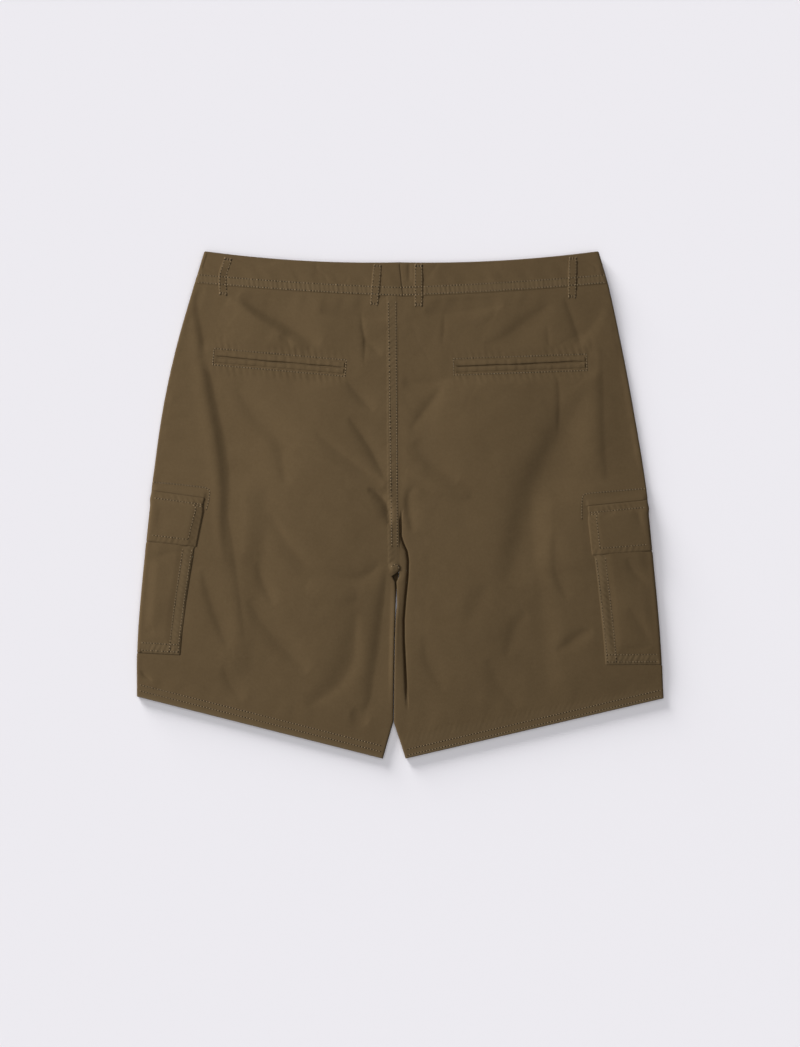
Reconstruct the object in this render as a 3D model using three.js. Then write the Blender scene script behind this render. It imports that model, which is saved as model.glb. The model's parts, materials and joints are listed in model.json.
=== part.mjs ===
// Cargo shorts laid flat on a table with the back upwards.
// The back lies on the front. The cloth turns over at the side seams and the inseams, the cargo pockets
// and their flaps wrap round the sides, and the belt loops, fly zip and waist button are pieces of their own.
// Sizes are in millimetres. +Z is up, +Y runs from the hems to the waist, +X is to the right of someone
// looking down on the back, and the origin is the middle of the box that the shorts fill, at table height.
import * as THREE from "three";

// Cloth walls and clearances
const CLOTH = 1.2; // one panel
const BAND_RISE = 0.8; // how far the doubled waistband stands out from the panels
const POCKET_CLOTH = 1.4; // pocket body with its turned edges
const FLAP_CLOTH = 1.2;
const GAP = 0.3; // between any two pieces
const HEM_EXTRA = 0.6; // the turned-up layers inside a hem
const SEAM_RISE = 0.8; // the felled seat seam stands this far out of the back
const SEAM_WIDTH = 11.2;
const SEAM_EDGE = 0.8; // the felled seam falls back to the panel within this

// How the layers lie
const TURN = 2.5; // outer radius where the cloth turns over at an edge
const TURN_STEPS = 3;
const INSEAM_TURN_FADE = 8; // below the crotch the inseams come to turn over fully within this length
const LAID = 2 * TURN + GAP; // outer face of the back above outer face of the front
const POCKET_OUT = GAP + POCKET_CLOTH; // outer face of a cargo pocket above its panel
const FLAP_IN = POCKET_OUT + GAP;
const FLAP_OUT = FLAP_IN + FLAP_CLOTH;
const SEWN_OUT = GAP + FLAP_CLOTH; // outer face of the flap's sewn strip above its panel
const WAIST_LIFT = 3.3; // the waistband rests on the front belt loops and the button
const WAIST_LIFT_FADE = 62;
const STACK_FADE = { above: 32, underHem: 22, below: 25 }; // how softly the panels step over a cargo pocket
const LEVEL_PAST = 3; // the front stays level this far past a cargo pocket, then comes down to the table
const FADE_PAST = 26;
const DEEPEST = -2.2; // limits of the folds: back and front stay apart below, and close together above
const HIGHEST = 3.4;
const WELT_HOLD = 0.75; // share of a fold that a jetted back pocket presses flat
// Lengths over which the folds come up from what holds the cloth flat
const FREE = { waist: 9, hem: 16, side: 8, centre: 9, pocket: 12, pastPocket: 3, welt: 14, pastWelt: 9 };

const SIDES = ["left", "right"];
const SIGN = { left: -1, right: 1 };

// The outline at the side seams, from the hem up: half widths to the left and to the right
const SIDE_SEAM = [
  { y: -203, left: 276.6, right: 276.6 },
  { y: -160, left: 276.6, right: 274.6 },
  { y: -120, left: 274.7, right: 271.8 },
  { y: -55, left: 268.7, right: 265.7 },
  { y: 25, left: 260.0, right: 257.3 },
  { y: 100, left: 249.4, right: 245.0 },
  { y: 165, left: 235.4, right: 232.8 },
  { y: 230, left: 216.6, right: 218.5 },
  { y: 266, left: 205.7, right: 208.3 },
];

// The centre line of each face, from the hems up: the inner edges of the legs, the open slit under the crotch,
// the seam. The front's legs part lower down, so its cloth shows in the notch under the back's crotch.
// The waistband's seam leans the other way.
const CENTRE_LINE = {
  back: [
    { y: -266, left: -18.1, right: 5.5 },
    { y: -228, left: -7.3, right: -6.9 },
    { y: -180, left: -6.7, right: -6.3 },
    { y: -140, left: -6.0, right: -5.6 },
    { y: -121, left: -5.4, right: -5.0 },
    { y: -105, left: -4.9, right: -3.3 },
    { y: -90, left: -4.7, right: -3.6 },
    { y: -81, left: -5.2, right: -4.0 },
    { y: -75, left: -8.6, right: -0.9 },
    { y: -70, left: -1.2, right: -0.9 },
    { y: 30, left: -2.2, right: -1.9 },
    { y: 218, left: -2.7, right: -2.4 },
    { y: 255, left: -0.2, right: 0.1 },
  ],
  front: [
    { y: -266, left: -18.1, right: 5.5 },
    { y: -228, left: -7.3, right: -6.9 },
    { y: -180, left: -6.7, right: -6.3 },
    { y: -140, left: -6.0, right: -5.6 },
    { y: -121, left: -5.4, right: -5.0 },
    { y: -105, left: -4.9, right: -3.3 },
    { y: -90, left: -4.1, right: -3.8 },
    { y: -70, left: -1.2, right: -0.9 },
    { y: 30, left: -2.2, right: -1.9 },
    { y: 218, left: -2.7, right: -2.4 },
    { y: 255, left: -0.2, right: 0.1 },
  ],
  band: [
    { y: 218, left: 2.7, right: 3.0 },
    { y: 255, left: -1.1, right: -0.8 },
  ],
};

// Sections across the shorts, from the waist down: where each meets the centre line and the two side seams,
// how far it bows towards the hem, and into how many steps the stretch below it is divided
const SECTIONS = [
  { name: "waist top", centre: 254.3, left: 265.9, right: 265.9, bow: 4.0, steps: 1 },
  { name: "waist seam", centre: 217.6, left: 231.4, right: 231.0, bow: 1.4, steps: 15 },
  { name: "flap top", centre: -21, left: 15, right: 5, bow: 0, steps: 4 },
  { name: "crotch and flap hem", centre: -70, left: -39, right: -49, bow: 0, steps: 1 },
  { name: "widest slit", centre: -75, left: -46, right: -56, bow: 0, steps: 1 },
  { name: "slit", centre: -81, left: -54, right: -63, bow: 0, steps: 1 },
  { name: "slit", centre: -90, left: -66, right: -75, bow: 0, steps: 1 },
  { name: "slit", centre: -105, left: -82, right: -92, bow: 0, steps: 1 },
  { name: "foot of the slit", centre: -121, left: -100, right: -111, bow: 0, steps: 3 },
  { name: "pocket bottom", centre: -170, left: -155.5, right: -167.8, bow: 0, steps: 4 },
  { name: "hem stitching", centre: -252, left: -188, right: -193, bow: 0, steps: 1 },
  { name: "hem", centre: -265.9, left: -200.6, right: -202.5, bow: 0, steps: 1 },
];
const [WAIST_TOP, WAIST_SEAM] = SECTIONS;
const [HEM_STITCHING, HEM] = SECTIONS.slice(-2);

// The cargo pockets, which straddle the side seams: heights on the side seam, and how far they reach from it
const POCKETS = {
  left: { flapTop: 15, flapHem: -39, bottom: -155.5, flapBack: [55.5, 50.5], bodyBack: [51.5, 44], front: 95 },
  right: { flapTop: 5, flapHem: -49, bottom: -167.8, flapBack: [62.3, 61.4], bodyBack: [60.5, 58], front: 95 },
};
const POCKET_MOUTH = 15; // the pocket's edge below the flap's sewn edge
const FLAP_SEWN = 8; // the sewn strip of the flap
const FLAP_STEP = 1.5; // the flap is over the pocket's edge this far above the edge itself
const EDGE_FADE = 6; // a panel's edge comes back out to the outline within this, past a pocket or flap
const FLAP_PAST = 2; // the flap reaches this much farther over the front than the pocket
const ROW_APART = 4; // a pocket's or flap's next row lies at least this far from its first

// The two jetted back pockets: the ends of each slit, outer end first
const WELTS = {
  left: { x0: -194, y0: 155.4, x1: -59.5, y1: 143.6 },
  right: { x0: 193.6, y0: 149.5, x1: 58.2, y1: 144.8 },
};
const LIP_WIDTH = 5.8;
const LIP_CLOTH = 1.0;
const LIP_STEPS = 12;

// Belt loops: where each one starts under the waistband's top edge and ends below the waist seam
const LOOP_WIDTH = 10.4;
const LOOP_CLOTH = 1.2;
const BACK_LOOPS = [
  { name: "belt_loop_back_left_side", topX: -180.5, topY: 259.2, footX: -186.0, footY: 219.4 },
  { name: "belt_loop_back_left_centre", topX: -23.6, topY: 252.2, footX: -27.6, footY: 208.6 },
  { name: "belt_loop_back_right_centre", topX: 19.2, topY: 252.4, footX: 19.2, footY: 207.6 },
  { name: "belt_loop_back_right_side", topX: 181.2, topY: 260.2, footX: 180.2, footY: 216.2 },
];
const FRONT_LOOPS = [
  { name: "belt_loop_front_left", topX: -108, topY: 254.5, footX: -108, footY: 212 },
  { name: "belt_loop_front_right", topX: 108, topY: 254.5, footX: 108, footY: 212 },
];
const PRESSED = 0.5; // share of its height that a front loop keeps under the shorts
// Along a loop from its top: share of the length, and height over the cloth that it is sewn to
const LOOP_ARCH = [
  { along: 0, rise: 0 },
  { along: 0.09, rise: 0 },
  { along: 0.22, rise: 0.6 },
  { along: 0.42, rise: 0.9 },
  { along: 0.62, rise: 0.9 },
  { along: 0.78, rise: 0.5 },
  { along: 0.9, rise: 0 },
  { along: 1, rise: 0 },
];

const FOLD_ENDS = 0.7; // below 1, a fold keeps its depth nearer to its ends
// The folds of the back, as soft troughs (height below 0) and ridges: ends, sideways bend, half width, height
const FOLDS = [
  { name: "left side drape", x0: -216, y0: 222, x1: -170, y1: -122, bend: 4, width: 6.5, height: -2.4 },
  { name: "left side roll", x0: -224, y0: 212, x1: -204, y1: 70, bend: 2, width: 8, height: 1.0 },
  { name: "left yoke drape", x0: -178, y0: 220, x1: -72, y1: 164, bend: -3, width: 8, height: -2.4 },
  { name: "left waist pucker", x0: -80, y0: 206, x1: -18, y1: 199, bend: 0, width: 7, height: -1.3 },
  { name: "left seat fold 1", x0: -169, y0: 120, x1: -118, y1: 20, bend: 3, width: 9, height: -1.5 },
  { name: "left seat fold 2", x0: -138, y0: -12, x1: -78, y1: -76, bend: 0, width: 8, height: -1.6 },
  { name: "left crotch swag", x0: -84, y0: -72, x1: -20, y1: -60, bend: 12, width: 7, height: -1.3 },
  { name: "left thigh fold 1", x0: -160, y0: -102, x1: -108, y1: -164, bend: 0, width: 9, height: -1.6 },
  { name: "left thigh fold 2", x0: -208, y0: -70, x1: -185, y1: -136, bend: 0, width: 7, height: -1.3 },
  { name: "left hem swag", x0: -48, y0: -116, x1: -94, y1: -210, bend: 14, width: 9, height: -1.5 },
  { name: "left inseam valley", x0: -17, y0: -58, x1: -36, y1: -218, bend: 4, width: 6, height: -2.6 },
  { name: "left crotch crease", x0: -36, y0: 12, x1: -11, y1: -34, bend: 5, width: 4.5, height: -2.0 },
  { name: "left seam fold 1", x0: -56, y0: 130, x1: -29, y1: 96, bend: 0, width: 6, height: -1.4 },
  { name: "left seam fold 2", x0: -53, y0: 91, x1: -14, y1: 24, bend: 3, width: 6, height: -1.7 },
  { name: "left seam fold 3", x0: -86, y0: 73, x1: -18, y1: 21, bend: 0, width: 6, height: -1.4 },
  { name: "right waist pucker", x0: 30, y0: 206, x1: 104, y1: 212, bend: 0, width: 7, height: -1.4 },
  { name: "right yoke drape", x0: 156, y0: 208, x1: 92, y1: 166, bend: 3, width: 9, height: -1.9 },
  { name: "right side drape", x0: 215, y0: 150, x1: 216, y1: 24, bend: 0, width: 5.5, height: -1.8 },
  { name: "right welt crease", x0: 167, y0: 136, x1: 167, y1: 76, bend: 0, width: 5, height: -1.4 },
  { name: "right seat slope", x0: 172, y0: 82, x1: 94, y1: -60, bend: 6, width: 15, height: -2.4 },
  { name: "right seam fold 1", x0: 56, y0: 134, x1: 0, y1: 127, bend: 2, width: 5, height: -1.3 },
  { name: "right seam fold 2", x0: 36, y0: 113, x1: 10, y1: 78, bend: 0, width: 5, height: -1.1 },
  { name: "right seat hollow", x0: 16, y0: 62, x1: 62, y1: 24, bend: 0, width: 9, height: -1.3 },
  { name: "right seat ridge", x0: 7, y0: 36, x1: 76, y1: 12, bend: -2, width: 6, height: 1.0 },
  { name: "right thigh fold 1", x0: 160, y0: -30, x1: 178, y1: -100, bend: -5, width: 7, height: -1.3 },
  { name: "right thigh fold 2", x0: 62, y0: -90, x1: 80, y1: -118, bend: 0, width: 8, height: -1.2 },
  { name: "right thigh fold 3", x0: 24, y0: -140, x1: 48, y1: -190, bend: 0, width: 7, height: -1.3 },
  { name: "right thigh fold 4", x0: 168, y0: -156, x1: 200, y1: -131, bend: 0, width: 6, height: -1.2 },
  { name: "right hem fold", x0: 90, y0: -164, x1: 120, y1: -212, bend: 0, width: 9, height: -1.3 },
];

// The broad swells and hollows of the back: middle, reach across and along, height
const SWELLS = [
  { name: "left seat and thigh", x: -88, y: -18, acrossX: 62, alongY: 118, height: 3.2 },
  { name: "left yoke", x: -96, y: 190, acrossX: 55, alongY: 32, height: 1.2 },
  { name: "right seat", x: 92, y: 96, acrossX: 58, alongY: 64, height: 3.2 },
  { name: "right thigh", x: 66, y: -126, acrossX: 52, alongY: 74, height: 2.4 },
  { name: "right hip", x: 196, y: 66, acrossX: 22, alongY: 70, height: 1.4 },
];

// The deep crease that leaves the seat seam, rounds the crotch and runs down the right leg:
// where its line runs, and what share of its depth it has
const CREASE = [
  { y: -266, x: 9, share: 0 },
  { y: -218, x: 8.6, share: 0 },
  { y: -196, x: 7.6, share: 1 },
  { y: -169, x: 6.7, share: 1 },
  { y: -142, x: 5.4, share: 1 },
  { y: -122, x: 5.2, share: 1 },
  { y: -99, x: 7.0, share: 1 },
  { y: -82, x: 8.8, share: 1 },
  { y: -60, x: 9.9, share: 1 },
  { y: -50, x: 8.5, share: 1 },
  { y: -33, x: 2.1, share: 0.9 },
  { y: -18, x: 1.6, share: 0.7 },
  { y: 0, x: 2.6, share: 0 },
  { y: 20, x: 4.6, share: 0 },
  { y: 218, x: 4.6, share: 0 },
];
const INSIDE_CREASE = 4; // the cloth between the crease and the centre line dips over this width
// Across the crease: distance from its line, and height
const CREASE_PROFILE = [
  { from: -1.3, height: -0.2 },
  { from: -0.3, height: -2.6 },
  { from: 0.6, height: -2.6 },
  { from: 1.2, height: 0.8 },
  { from: 4.5, height: 1.0 },
  { from: 11, height: 0.4 },
  { from: 20, height: 0 },
];

// Fly zip and waist button, on the hidden front
const ZIP = { width: 12, cloth: 0.8, top: 204, foot: 72, steps: 8 };
const BUTTON = { x: -11, y: 236.5, radius: 8.5, cloth: 2.2, holeRadius: 1.0, holeAway: 2.1 };

// Small mathematics
const clamp01 = (t) => Math.min(1, Math.max(0, t));
const ease = (t) => clamp01(t) ** 2 * (3 - 2 * clamp01(t));
const mix = (a, b, t) => a + (b - a) * t;

// The rows of a table on each side of a value, and the share of the way between them
function bracket(rows, key, at) {
  const rising = rows[rows.length - 1][key] > rows[0][key];
  let i = 0;
  while (i < rows.length - 2 && (rising ? at > rows[i + 1][key] : at < rows[i + 1][key])) i++;
  const share = clamp01((at - rows[i][key]) / (rows[i + 1][key] - rows[i][key]));
  return { i, share };
}

// A column of a table at a value of its key column, along straight lines
function straight(rows, key, column, at) {
  const { i, share } = bracket(rows, key, at);
  return mix(rows[i][column], rows[i + 1][column], share);
}

// The same along a smooth curve through the rows
function smooth(rows, key, column, at) {
  const { i, share: t } = bracket(rows, key, at);
  const slope = (a, b) => (rows[b][column] - rows[a][column]) / (rows[b][key] - rows[a][key]);
  const span = rows[i + 1][key] - rows[i][key];
  const m0 = span * slope(Math.max(i - 1, 0), i + 1);
  const m1 = span * slope(i, Math.min(i + 2, rows.length - 1));
  const v0 = rows[i][column];
  const v1 = rows[i + 1][column];
  return v0 + t * m0 + t ** 2 * (3 * (v1 - v0) - 2 * m0 - m1) + t ** 3 * (2 * (v0 - v1) + m0 + m1);
}

// Height of the pocket and flap layers outside the panel at a height on the side seam
function stack(side, sideY) {
  const { flapTop, flapHem, bottom } = POCKETS[side];
  const rows = [
    { y: flapTop + STACK_FADE.above, out: 0 },
    { y: flapTop, out: FLAP_OUT },
    { y: flapHem, out: FLAP_OUT },
    { y: flapHem - STACK_FADE.underHem, out: POCKET_OUT },
    { y: bottom, out: POCKET_OUT },
    { y: bottom - STACK_FADE.below, out: 0 },
  ];
  const { i, share } = bracket(rows, "y", sideY);
  return mix(rows[i].out, rows[i + 1].out, ease(share));
}

// How far a panel's edge lies inside the outline, which the pocket and the flap take up where they wrap it
function edgeInset(side, sideY) {
  const { flapTop, flapHem, bottom } = POCKETS[side];
  const rows = [
    { y: flapTop + EDGE_FADE, inset: 0 },
    { y: flapTop, inset: SEWN_OUT },
    { y: flapTop - FLAP_SEWN, inset: SEWN_OUT },
    { y: flapTop - POCKET_MOUTH + FLAP_STEP, inset: FLAP_OUT },
    { y: flapHem, inset: FLAP_OUT },
    { y: flapHem - EDGE_FADE, inset: POCKET_OUT },
    { y: bottom, inset: POCKET_OUT },
    { y: bottom - EDGE_FADE, inset: 0 },
  ];
  return straight(rows, "y", "inset", sideY);
}

// One section of one half: its ends, its width and its direction from the side seam to the centre line
function section(side, sideY, face = "back", inset = edgeInset(side, sideY)) {
  const centreY = straight(SECTIONS, side, "centre", sideY);
  const reach = smooth(SIDE_SEAM, "y", side, sideY) - inset;
  const start = new THREE.Vector2(SIGN[side] * reach, sideY);
  const end = new THREE.Vector2(straight(CENTRE_LINE[face], "y", side, centreY), centreY);
  const inward = end.clone().sub(start);
  const width = inward.length();
  const bow = straight(SECTIONS, side, "bow", sideY);
  return { side, sideY, centreY, start, inward: inward.normalize(), width, bow };
}

// The point of a section at a depth from its side end, at table height
function planPoint(sec, depth) {
  const share = depth / sec.width;
  const p = sec.start.clone().addScaledVector(sec.inward, depth);
  return new THREE.Vector3(p.x, p.y - 4 * sec.bow * share * (1 - share), 0);
}

// How far the front's outer face is lifted off the table by what lies under it
function lift(sec, depth) {
  const underWaist = WAIST_LIFT * ease(1 - (WAIST_SEAM[sec.side] - sec.sideY) / WAIST_LIFT_FADE);
  const past = (depth - POCKETS[sec.side].front - LEVEL_PAST) / FADE_PAST;
  return underWaist + stack(sec.side, sec.sideY) * (1 - ease(past));
}

// Height of one fold at a point
function foldHeight(fold, x, y) {
  const along = new THREE.Vector2(fold.x1 - fold.x0, fold.y1 - fold.y0);
  const length = along.length();
  along.divideScalar(length);
  const t = ((x - fold.x0) * along.x + (y - fold.y0) * along.y) / length;
  if (t <= 0 || t >= 1) return 0;
  const across = (x - fold.x0) * -along.y + (y - fold.y0) * along.x - 4 * fold.bend * t * (1 - t);
  return fold.height * Math.exp(-((across / fold.width) ** 2)) * Math.sin(Math.PI * t) ** FOLD_ENDS;
}

// Height of one swell at a point
function swellHeight(swell, x, y) {
  const away = ((x - swell.x) / swell.acrossX) ** 2 + ((y - swell.y) / swell.alongY) ** 2;
  return swell.height * Math.exp(-away);
}

// Nearness to a jetted pocket, from 0 to 1: the cloth is stiff there
function nearWelt(x, y) {
  const { x0, y0, x1, y1 } = WELTS[x < 0 ? "left" : "right"];
  const share = clamp01((x - x0) / (x1 - x0));
  const away = Math.hypot(x - mix(x0, x1, share), y - mix(y0, y1, share));
  return ease(1 - (away - FREE.pastWelt) / FREE.welt);
}

// How free the cloth is to fold at a depth of a section, from 0 at the seams and a cargo pocket to 1
function freedom(sec, depth) {
  const { flapTop, bottom, flapBack } = POCKETS[sec.side];
  const inPocketRows = ease((flapTop + FREE.pocket - sec.sideY) / FREE.pocket) *
    ease((sec.sideY - bottom + FREE.pocket) / FREE.pocket);
  const held = inPocketRows * ease(1 - (depth - flapBack[0] - FREE.pastPocket) / FREE.pocket);
  const fromWaist = ease((WAIST_SEAM[sec.side] - sec.sideY) / FREE.waist);
  const fromHem = ease((sec.sideY - HEM[sec.side]) / FREE.hem);
  const fromSide = ease((depth - TURN) / FREE.side);
  const fromCentre = ease((sec.width - depth - 1) / FREE.centre);
  return fromWaist * fromHem * fromSide * fromCentre * (1 - held);
}

// Height of the folds and swells of the back at a point of a section
function relief(sec, depth, x, y) {
  const folds = FOLDS.reduce((total, fold) => total + foldHeight(fold, x, y), 0);
  const swells = SWELLS.reduce((total, swell) => total + swellHeight(swell, x, y), 0);
  const sum = folds + swells;
  const limit = sum < 0 ? DEEPEST : HIGHEST;
  return limit * Math.tanh(sum / limit) * freedom(sec, depth) * (1 - WELT_HOLD * nearWelt(x, y));
}

// How far the deep crease lies from the centre line
const creaseAway = ({ centreY }) =>
  straight(CREASE, "y", "x", centreY) - straight(CENTRE_LINE.back, "y", "right", centreY);

// Height that the deep crease of the right leg adds
function creaseHeight(sec, depth) {
  if (sec.side === "left") return 0;
  const share = straight(CREASE, "y", "share", sec.centreY);
  const from = sec.width - depth - creaseAway(sec);
  const [edge] = CREASE_PROFILE;
  if (from < edge.from) return share * edge.height * ease((sec.width - depth) / INSIDE_CREASE);
  return share * straight(CREASE_PROFILE, "from", "height", from);
}

// The share of a full turn that the cloth makes at the centre line: none on the seat seam, all on the inseams
const CROTCH = SECTIONS.find(({ name }) => name === "crotch and flap hem").centre;
const inseamTurn = (centreY) => clamp01((CROTCH - centreY) / INSEAM_TURN_FADE);

// How far the surface falls towards an edge that turns over, and the outward normal there
function turnOver(away, share) {
  if (away >= TURN || share === 0) return { fall: 0, lean: 0 };
  const lean = share * Math.asin(1 - away / TURN);
  return { fall: share * (TURN - Math.sqrt(TURN ** 2 - (TURN - away) ** 2)), lean };
}

// A point of the outer face of the back or front, with its normal where the cloth turns over at an edge
function facePoint(sec, depth, face) {
  const point = planPoint(sec, depth);
  const fromCentre = sec.width - depth;
  const side = turnOver(depth, 1);
  const centre = turnOver(fromCentre, inseamTurn(sec.centreY));
  const fall = side.fall + centre.fall;
  const base = lift(sec, depth);
  let wall = CLOTH + (sec.sideY < HEM_STITCHING[sec.side] + 1 ? HEM_EXTRA : 0);
  if (face === "back") {
    const folds = relief(sec, depth, point.x, point.y) + creaseHeight(sec, depth);
    const onSeam = sec.side === "left" && sec.centreY > CROTCH + 1 && fromCentre < SEAM_WIDTH + SEAM_EDGE / 2;
    const seam = onSeam ? SEAM_RISE : 0;
    point.z = base + LAID + folds + seam - fall;
    wall += seam;
  } else {
    point.z = base + fall;
  }
  const up = face === "back" ? 1 : -1;
  let normal = null;
  if (side.lean > 0 || centre.lean > 0) {
    const outward = side.lean > 0 ? -Math.sin(side.lean) : Math.sin(centre.lean);
    const upward = Math.cos(side.lean > 0 ? side.lean : centre.lean);
    normal = new THREE.Vector3(sec.inward.x * outward, sec.inward.y * outward, up * upward);
  }
  return { point, normal, wall };
}

// Normals of a grid of points from their neighbours, on the side of `facing`
function gridNormal(grid, i, j, facing) {
  const within = (k, count) => Math.min(Math.max(k, 0), count - 1);
  const at = (a, b) => grid[within(a, grid.length)][within(b, grid[0].length)];
  const down = at(i + 1, j).point.clone().sub(at(i - 1, j).point);
  const across = at(i, j + 1).point.clone().sub(at(i, j - 1).point);
  const normal = down.cross(across).normalize();
  return normal.dot(facing) < 0 ? normal.negate() : normal;
}

// A closed wall between two grids of points, facing out
function wallBetween(outer, inner) {
  const rows = outer.length;
  const columns = outer[0].length;
  const flat = [...outer.flat(), ...inner.flat()];
  const position = new Float32Array(flat.flatMap((p) => [p.x, p.y, p.z]));
  const id = (layer, i, j) => layer * rows * columns + i * columns + j;
  const index = [];
  const quad = (a, b, c, d) => index.push(a, b, c, a, c, d);
  for (let i = 0; i < rows - 1; i++) {
    for (let j = 0; j < columns - 1; j++) {
      quad(id(0, i, j), id(0, i + 1, j), id(0, i + 1, j + 1), id(0, i, j + 1));
      quad(id(1, i, j), id(1, i, j + 1), id(1, i + 1, j + 1), id(1, i + 1, j));
    }
    quad(id(0, i, 0), id(1, i, 0), id(1, i + 1, 0), id(0, i + 1, 0));
    quad(id(0, i, columns - 1), id(0, i + 1, columns - 1), id(1, i + 1, columns - 1), id(1, i, columns - 1));
  }
  for (let j = 0; j < columns - 1; j++) {
    quad(id(0, 0, j), id(0, 0, j + 1), id(1, 0, j + 1), id(1, 0, j));
    quad(id(0, rows - 1, j), id(1, rows - 1, j), id(1, rows - 1, j + 1), id(0, rows - 1, j + 1));
  }
  let volume = 0;
  for (let k = 0; k < index.length; k += 3) {
    const [a, b, c] = [flat[index[k]], flat[index[k + 1]], flat[index[k + 2]]];
    volume += a.dot(b.clone().cross(c));
  }
  if (volume < 0) index.reverse();
  const geometry = new THREE.BufferGeometry();
  geometry.setAttribute("position", new THREE.BufferAttribute(position, 3));
  geometry.setIndex(index);
  geometry.computeVertexNormals();
  return geometry;
}

// The heights on a side seam at which a panel has a section, with every stretch in its own steps.
// The front is plain, and the stretch over the seat takes half as many there.
function panelRows(side, face = "back") {
  const rows = [];
  for (let k = 1; k < SECTIONS.length - 1; k++) {
    const plain = face === "front" && SECTIONS[k] === WAIST_SEAM;
    const steps = plain ? Math.ceil(SECTIONS[k].steps / 2) : SECTIONS[k].steps;
    for (let n = 0; n < steps; n++) rows.push(mix(SECTIONS[k][side], SECTIONS[k + 1][side], n / steps));
  }
  return [...rows, HEM[side]];
}

// Where a section has its points, as distances from the side seam and from the centre line
const turnAngle = (n) => (n * Math.PI) / 2 / TURN_STEPS;
const TURN_DEPTHS = Array.from({ length: TURN_STEPS + 1 }, (_, n) => TURN * (1 - Math.cos(turnAngle(n))));
const INSEAM_DEPTHS = [0, 0.3 * TURN, TURN];
const NEAR_POCKET = [9, 22, 38, 56];
const NEAR_SEAM = [6, SEAM_WIDTH, SEAM_WIDTH + SEAM_EDGE, 19, 26, 34];
const PAST_CREASE = 22;
const UNDER_POCKET = [34, 66];
const NEAR_FLY = 12;
const BACK_BETWEEN = 10;
const FRONT_BETWEEN = 3;

// Depths evenly between two others, without them
const evenly = (from, to, count) =>
  Array.from({ length: count }, (_, n) => mix(from, to, (n + 1) / (count + 1)));

// Depths of a section's points from the side seam: close at the edges, even between
function backDepths(sec) {
  const away = creaseAway(sec);
  const alongCrease = CREASE_PROFILE.slice(0, -1).map(({ from }) => away + from);
  const insideCrease = [0, 0.3 * TURN, Math.min(TURN, 0.35 * away), 0.45 * away];
  const nearCrease = [...insideCrease, ...alongCrease, away + PAST_CREASE];
  const fromCentre = sec.side === "left" ? [...INSEAM_DEPTHS, ...NEAR_SEAM] : nearCrease;
  const inner = fromCentre.map((d) => sec.width - d).reverse();
  const outer = [...TURN_DEPTHS, ...NEAR_POCKET];
  return [...outer, ...evenly(outer.at(-1), inner[0], BACK_BETWEEN), ...inner];
}

function frontDepths(sec) {
  const level = POCKETS[sec.side].front + LEVEL_PAST;
  const down = level + FADE_PAST;
  const inner = [...INSEAM_DEPTHS, NEAR_FLY].map((d) => sec.width - d).reverse();
  const lowering = [level, ...evenly(level, down, 2), down];
  return [...TURN_DEPTHS, ...UNDER_POCKET, ...lowering, ...evenly(down, inner[0], FRONT_BETWEEN), ...inner];
}

// A leg panel with half of the seat or of the front: a wall of cloth from the side seam to the centre line
function panel(side, face) {
  const facing = new THREE.Vector3(0, 0, face === "back" ? 1 : -1);
  const grid = panelRows(side, face).map((sideY) => {
    const sec = section(side, sideY, face);
    const depths = face === "back" ? backDepths(sec) : frontDepths(sec);
    return depths.map((depth) => facePoint(sec, depth, face));
  });
  const inner = grid.map((row, i) =>
    row.map(({ point, normal, wall }, j) => {
      const n = normal ?? gridNormal(grid, i, j, facing);
      return point.clone().addScaledVector(n, -wall);
    }),
  );
  return wallBetween(grid.map((row) => row.map(({ point }) => point)), inner);
}

// A line over the back, round the side and under the front, at an offset outside the panels' outer faces
function around(sec, offset, backs, fronts) {
  const over = backs.map((depth) => planPoint(sec, depth).setZ(lift(sec, depth) + LAID + offset));
  const under = fronts.map((depth) => planPoint(sec, depth).setZ(lift(sec, depth) - offset));
  const base = lift(sec, 0);
  const radius = TURN + offset;
  const turn = (n, z0, sign) => {
    const point = planPoint(sec, TURN - radius * Math.cos(turnAngle(n)));
    return point.setZ(z0 + sign * radius * Math.sin(turnAngle(n)));
  };
  const steps = Array.from({ length: TURN_STEPS + 1 }, (_, n) => n);
  const down = steps.map((n) => turn(n, base + LAID - TURN, 1)).reverse();
  const up = steps.map((n) => turn(n, base + TURN, -1));
  return [...over, ...down, ...up, ...under];
}

// Depths from a piece's inner edge out to near where the cloth turns over, farthest first
const WRAP_STEPS = 4;
const BAND_STEPS = 11;
const BEFORE_TURN = TURN + 4;
const outTo = (edge, steps) => Array.from({ length: steps }, (_, n) => mix(edge, BEFORE_TURN, n / (steps - 1)));

// The panel's own rows between the first and last row of a piece that lies on it
const rowsBetween = (side, first, last) => panelRows(side).filter((y) => y < first - ROW_APART && y > last + 1);

function cargoPocket(side) {
  const { flapTop, bottom, bodyBack, front } = POCKETS[side];
  const mouth = flapTop - POCKET_MOUTH;
  const rows = [mouth, ...rowsBetween(side, mouth, bottom), bottom];
  const grid = (offset) =>
    rows.map((sideY) => {
      const reach = mix(bodyBack[0], bodyBack[1], (mouth - sideY) / (mouth - bottom));
      return around(section(side, sideY), offset, outTo(reach, WRAP_STEPS), outTo(front, WRAP_STEPS).reverse());
    });
  return wallBetween(grid(POCKET_OUT), grid(GAP));
}

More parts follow.
